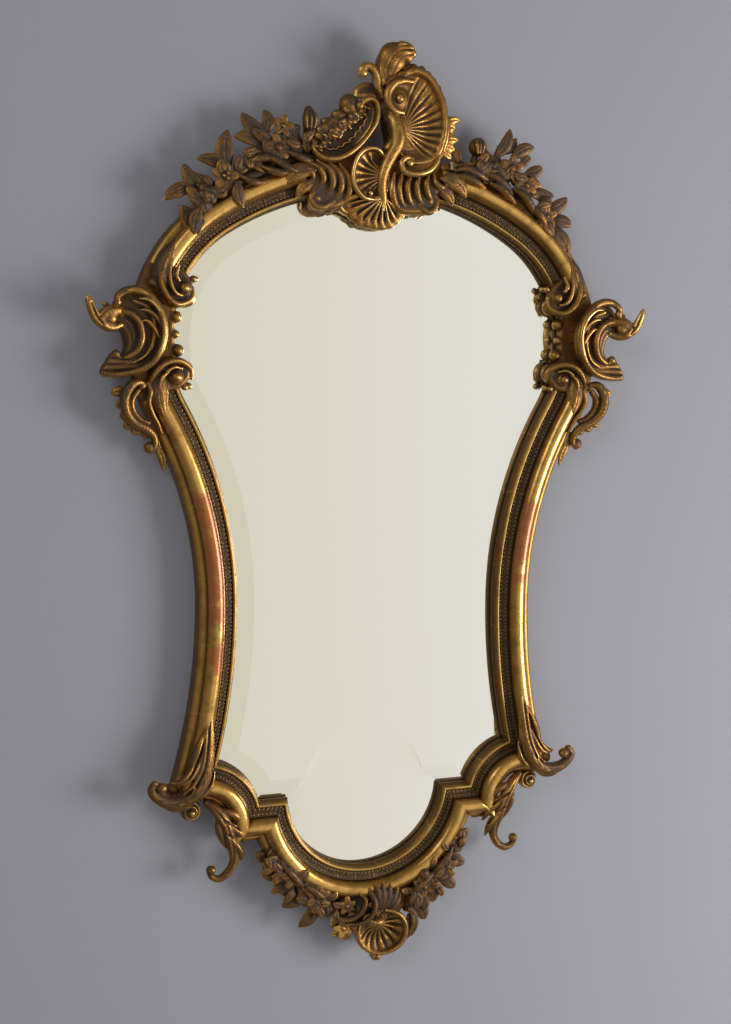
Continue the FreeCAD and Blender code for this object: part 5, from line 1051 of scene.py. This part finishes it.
clay.ball(60, -786, 46, 5.2, 5.2, 0.7)
clay.flower(128, -704, 38, 11, 0.5)
clay.piece("garland_right")
clay = Clay((-56, 16, -812), (52, 62, -722))
clay.plate([(-46, -770), (-20, -752), (10, -748), (34, -752), (40, -768), (30, -784), (4, -796),
            (-20, -800), (-42, -790)], 24, 40, 1.5, 5)
clay.stroke([(-49, -780, 46, 2.4, 3), (-42, -786, 48, 3.2, 4), (-32, -788, 50, 3.4, 4.5),
             (-19, -785, 51, 3.4, 4.5), (-9, -775, 51, 3.4, 4.5), (-6, -763, 50, 3, 4),
             (-12, -756, 47, 2.2, 3)], 0.8)
clay.stroke([(-28, -797, 44, 2.4, 3.5), (-14, -797, 47, 3.2, 4), (0, -791, 49, 3.4, 4.5),
             (8, -778, 50, 3.4, 4.5), (7, -764, 49, 3, 4), (0, -757, 46, 2.2, 3)], 0.8)
clay.flower(-30, -772, 42, 12, 0.3)
for points, h in (([(16, -780), (10, -769), (4, -758), (0, -749)], [45, 47, 47, 45]),
                  ([(18, -780), (15, -767), (12, -754), (9, -743)], [46, 48, 49, 47]),
                  ([(20, -780), (21, -767), (20, -754), (20, -742)], [46, 48, 49, 47]),
                  ([(23, -780), (27, -768), (29, -756), (31, -746)], [46, 48, 48, 46]),
                  ([(26, -781), (33, -771), (38, -762), (42, -753)], [45, 47, 47, 45]),
                  ([(26, -785), (36, -779), (42, -772), (46, -765)], [44, 45, 45, 43])):
    finger(clay, points, h, 4.8, 4.4, 1.2)
thicket(clay, ((-46, -776), (-30, -790), (-10, -794), (34, -772)), 8, 16, 38, 14)
clay.piece("base_ribbon")
clay = Clay((-56, 14, -862), (62, 62, -774))
ring = [(-12, -798), (-4, -788), (12, -783), (30, -783), (44, -790), (52, -804), (52, -820), (44, -833),
        (30, -841), (14, -842), (0, -836), (-10, -826), (-14, -812)]
clay.fan((12, -798), ring, 20, bowl(51, 41, 47), (-2.5, 0.15, 9), 4.0, 1.6)
clay.stroke([(24, -781, 50, 2.4, 3.5), (36, -784, 52, 3, 4.5), (46, -792, 53, 3.2, 5),
             (52, -806, 53, 3.2, 5), (51, -821, 52, 3.2, 5), (44, -833, 50, 3.4, 5),
             (30, -841, 47, 3.6, 5.5), (13, -842, 44, 3.8, 6), (-1, -836, 42, 3.8, 6),
             (-11, -825, 40, 3.6, 6), (-14, -811, 40, 3, 5)], 2.4)
clay.flower(-32, -805, 36, 13, 0.6)
for base, tip in (((-36, -800), (-50, -798)), ((-34, -812), (-48, -814)), ((-26, -814), (-28, -824))):
    clay.leaf(base, tip, 5.5, 32, 30, 0.1, 2.2)
clay.stroke([(-20, -804, 28, 6, 6), (-34, -804, 28, 5, 6)])
clay.stroke([(12, -838, 36, 4.4, 6), (10, -847, 36, 4.6, 5.5), (14, -853, 36, 4, 4.6),
             (19, -855, 36, 2.6, 3)], 0.8)
clay.ball(17, -851, 38, 4, 4, 0.6)
clay.piece("base_shell")


# Materials
class Paint:
    """A small builder of shader nodes for a material or the world."""

    def __init__(self, owner, shader="Principled BSDF"):
        owner.use_nodes = True
        self.owner = owner
        self.tree = owner.node_tree
        self.shader = self.tree.nodes[shader]
        self.coords = self.node("ShaderNodeTexCoord").outputs

    def node(self, kind, **settings):
        made = self.tree.nodes.new(kind)
        for key, value in settings.items():
            setattr(made, key, value)
        return made

    def link(self, a, b):
        self.tree.links.new(a, b)

    def feed(self, socket, value):
        if hasattr(value, "is_linked"):
            self.link(value, socket)
        else:
            socket.default_value = value

    def attribute(self, name):
        return self.node("ShaderNodeAttribute", attribute_name=name).outputs["Fac"]

    def noise(self, scale, detail=3.0, rough=0.55, vector=None):
        n = self.node("ShaderNodeTexNoise")
        n.inputs["Scale"].default_value = scale
        n.inputs["Detail"].default_value = detail
        n.inputs["Roughness"].default_value = rough
        self.link(vector or self.coords["Object"], n.inputs["Vector"])
        return n.outputs["Fac"]

    def math(self, operation, a, b=0.0, c=0.0):
        n = self.node("ShaderNodeMath", operation=operation)
        for socket, value in zip(n.inputs, (a, b, c)):
            self.feed(socket, value)
        return n.outputs[0]

    def spread(self, value, low, high, to_low=0.0, to_high=1.0):
        n = self.node("ShaderNodeMapRange", interpolation_type="SMOOTHSTEP")
        for socket, v in zip(n.inputs, (value, low, high, to_low, to_high)):
            self.feed(socket, v)
        return n.outputs[0]

    def ramp(self, value, stops):
        n = self.node("ShaderNodeValToRGB")
        while len(n.color_ramp.elements) < len(stops):
            n.color_ramp.elements.new(0.5)
        for element, (place, colour) in zip(n.color_ramp.elements, stops):
            element.position = place
            element.color = (*colour, 1)
        self.link(value, n.inputs["Fac"])
        return n.outputs["Color"]

    def mix(self, share, a, b):
        n = self.node("ShaderNodeMix", data_type="RGBA")
        self.feed(n.inputs[0], share)
        self.feed(n.inputs[6], a if hasattr(a, "is_linked") else (*a, 1))
        self.feed(n.inputs[7], b if hasattr(b, "is_linked") else (*b, 1))
        return n.outputs[2]

    def bump(self, height, distance, strength=1.0):
        n = self.node("ShaderNodeBump")
        n.inputs["Distance"].default_value = distance
        n.inputs["Strength"].default_value = strength
        self.link(height, n.inputs["Height"])
        self.link(n.outputs["Normal"], self.shader.inputs["Normal"])

    def set(self, **values):
        for key, value in values.items():
            self.feed(self.shader.inputs[key.replace("_", " ")], value)
        return self.owner

    def split(self, vector):
        n = self.node("ShaderNodeSeparateXYZ")
        self.link(vector, n.inputs[0])
        return n.outputs

    def rearward(self):
        """One where the surface faces the wall."""
        normal = self.split(self.node("ShaderNodeNewGeometry").outputs["Normal"])
        return self.spread(normal["Y"], 0.55, 0.8)


WOOD = (0.23, 0.13, 0.06)


def gilt_carving(name, lift):
    """Old gold: lighter on what stands proud, partly wear and partly painted highlight; brown bole and dirt
    in the hollows, darkened further by painted shade.
    """
    paint = Paint(bpy.data.materials.new(name))
    # The cavity term darkens the hollows to near black and lightens the proud parts: dirt and wear,
    # together with painted shade and painted highlight.
    hollow = paint.math("MULTIPLY_ADD", paint.attribute("cavity"), 0.40, lift)
    patch = paint.math("MULTIPLY_ADD", paint.noise(38, 4), 0.42, -0.21)
    fine = paint.math("MULTIPLY_ADD", paint.noise(420, 3), 0.14, -0.07)
    tone = paint.math("ADD", paint.math("ADD", hollow, patch), fine)
    gold = paint.ramp(tone, ((0.0, (0.018, 0.010, 0.006)), (0.26, (0.062, 0.031, 0.013)),
                             (0.46, (0.205, 0.098, 0.026)), (0.66, (0.415, 0.225, 0.058)),
                             (0.86, (0.650, 0.420, 0.145)), (1.0, (0.78, 0.58, 0.30))))
    back = paint.rearward()
    wood = paint.mix(paint.noise(60, 4), (0.16, 0.09, 0.04), WOOD)
    paint.bump(paint.math("ADD", paint.noise(900, 2), paint.noise(160, 3)), 0.0003, 0.3)
    metal = paint.math("MULTIPLY", paint.spread(tone, 0.12, 0.55, 0.25, 0.92),
                       paint.math("SUBTRACT", 1.0, back))
    return paint.set(Base_Color=paint.mix(back, gold, wood), Metallic=metal,
                     Roughness=paint.spread(tone, 0.1, 0.9, 0.60, 0.30))


def gilt_moulding(name):
    """Burnished gold leaf on the cushion, worn through to red bole in patches; dull gold elsewhere; across
    the section, painted highlight on the bead and the cushion's crest and painted shade in the bed, the
    quirk and at both edges.
    """
    paint = Paint(bpy.data.materials.new(name))
    across = paint.attribute("across")
    place = paint.split(paint.coords["Object"])
    x, z = place["X"], place["Z"]
    # Tone across the section: light on the bead and the cushion's crest, dark in the bed, the quirk and at
    # both edges; partly burnish and dirt, partly painted highlight and painted shade.
    zone = paint.ramp(across, ((0.0, (0.10, 0.055, 0.018)), (0.055, (0.22, 0.12, 0.035)),
                               (0.075, (0.46, 0.27, 0.075)), (0.135, (0.46, 0.27, 0.075)),
                               (0.158, (0.06, 0.032, 0.012)), (0.36, (0.06, 0.032, 0.012)),
                               (0.40, (0.38, 0.195, 0.046)), (0.60, (0.68, 0.405, 0.12)),
                               (0.78, (0.46, 0.235, 0.058)), (0.83, (0.12, 0.06, 0.02)),
                               (0.88, (0.42, 0.23, 0.06)), (0.97, (0.36, 0.195, 0.05)),
                               (1.0, (0.22, 0.12, 0.036))))
    cushion = paint.math("MULTIPLY", paint.spread(across, 0.37, 0.42), paint.spread(across, 0.82, 0.76))
    along = paint.attribute("along")
    square = paint.math("FRACT", paint.math("MULTIPLY_ADD", along, 11.5,
                                            paint.math("MULTIPLY", paint.noise(14, 2), 0.5)))
    lap = paint.math("MULTIPLY", paint.spread(square, 0.03, 0.0), 0.35)
    left = paint.math("MULTIPLY", paint.spread(z, -0.16, -0.22), paint.spread(z, -0.47, -0.42))
    left = paint.math("MULTIPLY", left, paint.spread(x, 0.0, -0.01))
    right = paint.math("MULTIPLY", paint.spread(z, -0.21, -0.25), paint.spread(z, -0.37, -0.33))
    right = paint.math("MULTIPLY", right, paint.spread(x, 0.0, 0.01))
    rubbed = paint.math("ADD", paint.math("MULTIPLY", paint.math("ADD", left, right), 0.34),
                        paint.noise(24, 5, 0.62))
    leaf = paint.math("MULTIPLY", paint.math("FLOOR", paint.math("MULTIPLY_ADD", along, 11.5, 0.3)), 0.37)
    rubbed = paint.math("ADD", rubbed, paint.math("MULTIPLY_ADD", paint.math("FRACT", leaf), 0.14, -0.07))
    bole = paint.math("MULTIPLY", paint.spread(rubbed, 0.66, 0.80), cushion)
    red = paint.mix(paint.noise(70, 3), (0.23, 0.050, 0.016), (0.42, 0.125, 0.032))
    gold = paint.mix(paint.spread(paint.noise(55, 5, 0.6), 0.42, 0.72, 0.0, 0.6), zone, (0.15, 0.08, 0.022))
    gold = paint.mix(lap, gold, (0.62, 0.42, 0.15))
    gold = paint.mix(paint.math("MULTIPLY", bole, 0.85), gold, red)
    back = paint.rearward()
    wood = paint.mix(paint.noise(60, 4), (0.16, 0.09, 0.04), WOOD)
    paint.bump(paint.math("ADD", paint.noise(700, 2), paint.noise(110, 3)), 0.0002, 0.4)
    metal = paint.math("MULTIPLY", paint.math("MULTIPLY_ADD", bole, -0.55, 0.92),
                       paint.math("SUBTRACT", 1.0, back))
    rough = paint.math("MULTIPLY_ADD", cushion, -0.16, paint.math("MULTIPLY_ADD",
            paint.noise(90, 3), 0.2, 0.32))
    return paint.set(Base_Color=paint.mix(back, gold, wood), Metallic=metal, Roughness=rough)


def dark_strip(name):
    paint = Paint(bpy.data.materials.new(name))
    # Tone follows the tongues' relief: light on the raised loops and near black on the ground between them;
    # partly dirt, partly painted highlight and painted shade.
    tone = paint.math("ADD", paint.attribute("cavity"),
                      paint.math("MULTIPLY_ADD", paint.noise(80, 4), 0.6, -0.3))
    colour = paint.ramp(paint.spread(tone, -0.5, 1.3), ((0.0, (0.018, 0.011, 0.006)),
            (0.4, (0.075, 0.042, 0.016)), (0.75, (0.22, 0.125, 0.042)), (1.0, (0.42, 0.26, 0.09))))
    return paint.set(Base_Color=colour, Metallic=paint.spread(tone, 0.0, 1.2, 0.3, 0.75), Roughness=0.48)


def mirror_glass(name):
    paint = Paint(bpy.data.materials.new(name))
    fox = paint.spread(paint.noise(150, 6, 0.7), 0.70, 0.80)
    colour = paint.mix(paint.math("MULTIPLY", fox, 0.10), (0.93, 0.925, 0.895), (0.60, 0.55, 0.42))
    back = paint.rearward()
    colour = paint.mix(back, colour, (0.10, 0.10, 0.11))
    return paint.set(Base_Color=colour, Metallic=1.0, Roughness=paint.math("MULTIPLY_ADD",
            back, 0.5, 0.012))


def grained(name, dark, light, scale, rough):
    paint = Paint(bpy.data.materials.new(name))
    stretch = paint.node("ShaderNodeMapping")
    stretch.inputs["Scale"].default_value = (1.0, 1.0, 0.08)
    paint.link(paint.coords["Object"], stretch.inputs["Vector"])
    grain = paint.noise(scale, 6, 0.6, stretch.outputs["Vector"])
    paint.bump(grain, 0.0006, 0.4)
    return paint.set(Base_Color=paint.mix(paint.spread(grain, 0.3, 0.7), dark, light), Roughness=rough)


def speckled(name, dark, light, metallic, rough, scale=240):
    paint = Paint(bpy.data.materials.new(name))
    grain = paint.noise(scale, 4)
    return paint.set(Base_Color=paint.mix(paint.spread(grain, 0.3, 0.75), dark, light), Metallic=metallic,
                     Roughness=paint.spread(grain, 0.2, 0.8, rough, rough + 0.15))


FINISH = {
    "gilt_carving": gilt_carving("gilt_carving", 0.55),
    # A darker copy of the carving gilding: painted shade.
    "gilt_leafage": gilt_carving("gilt_leafage", 0.45),
    "gilt_block": gilt_carving("gilt_block", 0.40),
    # A still darker copy of the carving gilding: painted deep shade.
    "gilt_foliage": gilt_carving("gilt_foliage", 0.29),
    "gilt_moulding": gilt_moulding("gilt_moulding"),
    "dark_strip": dark_strip("dark_strip"),
    "mirror_glass": mirror_glass("mirror_glass"),
    "backboard": grained("backboard", (0.14, 0.080, 0.040), (0.30, 0.19, 0.10), 220, 0.75),
    "dowel": grained("dowel", (0.30, 0.20, 0.11), (0.45, 0.32, 0.19), 260, 0.7),
    "nail_steel": speckled("nail_steel", (0.10, 0.085, 0.075), (0.24, 0.22, 0.20), 0.9, 0.45),
    "screw_steel": speckled("screw_steel", (0.16, 0.15, 0.14), (0.36, 0.35, 0.33), 0.95, 0.35),
    "hanger_brass": speckled("hanger_brass", (0.24, 0.15, 0.05), (0.55, 0.38, 0.14), 0.95, 0.32),
    "bumper_rubber": speckled("bumper_rubber", (0.018, 0.018, 0.018), (0.045, 0.043, 0.04), 0.0, 0.8),
}
KEPT = {
    "backboard": ["backboard_lower", "backboard_middle", "backboard_upper"],
    "gilt_block": ["base_block", "crest_block", "wing_block_left", "wing_block_right"],
    "mirror_glass": ["mirror_glass"],
    "dowel": ["rail_dowels"],
    "nail_steel": ["board_nails"],
    "screw_steel": ["carving_screws", "hanger_screws"],
    "hanger_brass": ["hanger_ring_left", "hanger_ring_right", "hanger_strap_left", "hanger_strap_right"],
    "bumper_rubber": ["wall_bumpers"],
}
for slot, nodes in KEPT.items():
    for node in nodes:
        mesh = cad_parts[node].data
        mesh.materials.clear()
        mesh.materials.append(FINISH[slot])
# Parts named in DARKEST and DARKER take the darker copies of the carving gilding, as painted shade.
DARKEST = ("spray", "garland", "base_ribbon")
DARKER = ("crest_leafage", "crest_finial", "crest_panel", "wing", "sight_balls", "pendant", "foot")
for obj, slot in pieces:
    if obj.name.startswith(DARKEST):
        finish = "gilt_foliage"
    elif obj.name.startswith(DARKER):
        finish = "gilt_leafage"
    else:
        finish = slot
    obj.data.materials.append(FINISH[finish])
    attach(obj, "frame")


# Stage: pale floor, a plain backdrop that is open from behind, soft lamps and the camera
def sheet(name, corners, material):
    mesh = bpy.data.meshes.new(name)
    mesh.from_pydata(corners, [], [(0, 1, 2, 3)])
    mesh.materials.append(material)
    obj = bpy.data.objects.new(name, mesh)
    bpy.context.scene.collection.objects.link(obj)


def stage_paint(name, colour, open_to):
    paint = Paint(bpy.data.materials.new(name))
    paint.set(Base_Color=paint.mix(paint.noise(3, 2), colour,
                                   tuple(v * 0.97 for v in colour)), Roughness=0.9)
    clear = paint.node("ShaderNodeBsdfTransparent")
    both = paint.node("ShaderNodeMixShader")
    paint.link(open_to(paint), both.inputs[0])
    paint.link(paint.shader.outputs[0], both.inputs[1])
    paint.link(clear.outputs[0], both.inputs[2])
    paint.link(both.outputs[0], paint.tree.nodes["Material Output"].inputs["Surface"])
    return paint.owner


def from_behind(paint):
    light = paint.node("ShaderNodeLightPath").outputs["Is Shadow Ray"]
    behind = paint.node("ShaderNodeNewGeometry").outputs["Backfacing"]
    return paint.math("MAXIMUM", light, behind)


def to_mirrors(paint):
    return paint.node("ShaderNodeLightPath").outputs["Is Glossy Ray"]


FLOOR_Z, FLOOR_HALF = -1.45, 7
SQUARE = ((-1, -1), (1, -1), (1, 1), (-1, 1))
WALL_Y, WALL_HALF, WALL_TOP = 0.0015, 5, 3.5
wall = stage_paint("backdrop", (0.335, 0.338, 0.376), from_behind)
floor = stage_paint("floor", (0.62, 0.61, 0.59), to_mirrors)
sheet("backdrop", [(-WALL_HALF, WALL_Y, FLOOR_Z), (WALL_HALF, WALL_Y, FLOOR_Z),
                   (WALL_HALF, WALL_Y, WALL_TOP), (-WALL_HALF, WALL_Y, WALL_TOP)], wall)
sheet("floor", [(x * FLOOR_HALF, y * FLOOR_HALF, FLOOR_Z) for x, y in SQUARE], floor)

# World: a cream room that shows in reflections, and plain greys for all other rays
world = bpy.data.worlds.new("studio")
bpy.context.scene.world = world
sky = Paint(world, "Background")
rays = sky.node("ShaderNodeLightPath").outputs
direction = sky.split(sky.coords["Generated"])
sides = sky.math("MULTIPLY", sky.spread(direction["X"], -0.45, 0.12, 0.40, 1.0),
                 sky.spread(direction["X"], 0.55, 0.95, 1.0, 0.45))
heights = sky.math("MULTIPLY", sky.spread(direction["Z"], -0.75, -0.42, 0.22, 1.0),
                   sky.spread(direction["Z"], 0.25, 0.7, 1.0, 0.5))
cream = sky.mix(sky.spread(direction["X"], 0.10, 0.46), (0.700, 0.660, 0.535), (0.800, 0.780, 0.720))
room = sky.mix(sky.math("MULTIPLY", sides, heights), (0.04, 0.035, 0.03), cream)
seen = sky.mix(rays["Is Camera Ray"], (0.30, 0.30, 0.31), (0.80, 0.80, 0.80))
glossy = sky.math("MAXIMUM", rays["Is Glossy Ray"], rays["Is Transmission Ray"])
sky.set(Color=sky.mix(glossy, seen, room))


def lamp(name, place, target, size, power, colour):
    data = bpy.data.lights.new(name, "AREA")
    data.shape = "RECTANGLE"
    data.size, data.size_y = size
    data.energy = power
    data.color = colour
    obj = bpy.data.objects.new(name, data)
    obj.location = place
    obj.rotation_euler = (Vector(target) - Vector(place)).to_track_quat("-Z", "Y").to_euler()
    bpy.context.scene.collection.objects.link(obj)


lamp("key", (2.4, -1.7, -0.55), (0, 0, -0.35), (1.2, 1.2), 66, (1.0, 0.985, 0.965))
lamp("fill", (-2.4, -2.6, 1.5), (0, 0, -0.2), (1.6, 1.6), 26, (0.97, 0.98, 1.0))
lamp("rear", (0.8, 2.4, 0.9), (0, 0, -0.3), (1.6, 1.6), 30, (1.0, 0.98, 0.96))

# The camera as fitted to the photograph
CAMERA_PLACE = (-0.6473, -1.8067, 0.0)
PHOTO_FOCAL, PHOTO_HEIGHT, SENSOR = 1450, 1024, 36
yaw, pitch, roll = math.radians(19.742), math.radians(-7.230), math.radians(1.113)
ahead = Vector((math.sin(yaw) * math.cos(pitch), math.cos(yaw) * math.cos(pitch), math.sin(pitch)))
right = Vector((math.cos(yaw), -math.sin(yaw), 0))
up = right.cross(ahead)
right, up = math.cos(roll) * right + math.sin(roll) * up, math.cos(roll) * up - math.sin(roll) * right
camera = bpy.data.objects.new("camera", bpy.data.cameras.new("camera"))
camera.data.lens = PHOTO_FOCAL / PHOTO_HEIGHT * SENSOR
camera.data.clip_start, camera.data.clip_end = 0.02, 60
turn = Matrix((right, up, -ahead)).transposed().to_4x4()
camera.matrix_world = Matrix.Translation(CAMERA_PLACE) @ turn
bpy.context.scene.collection.objects.link(camera)
bpy.context.scene.camera = camera
bpy.context.scene.view_settings.view_transform = "Standard"
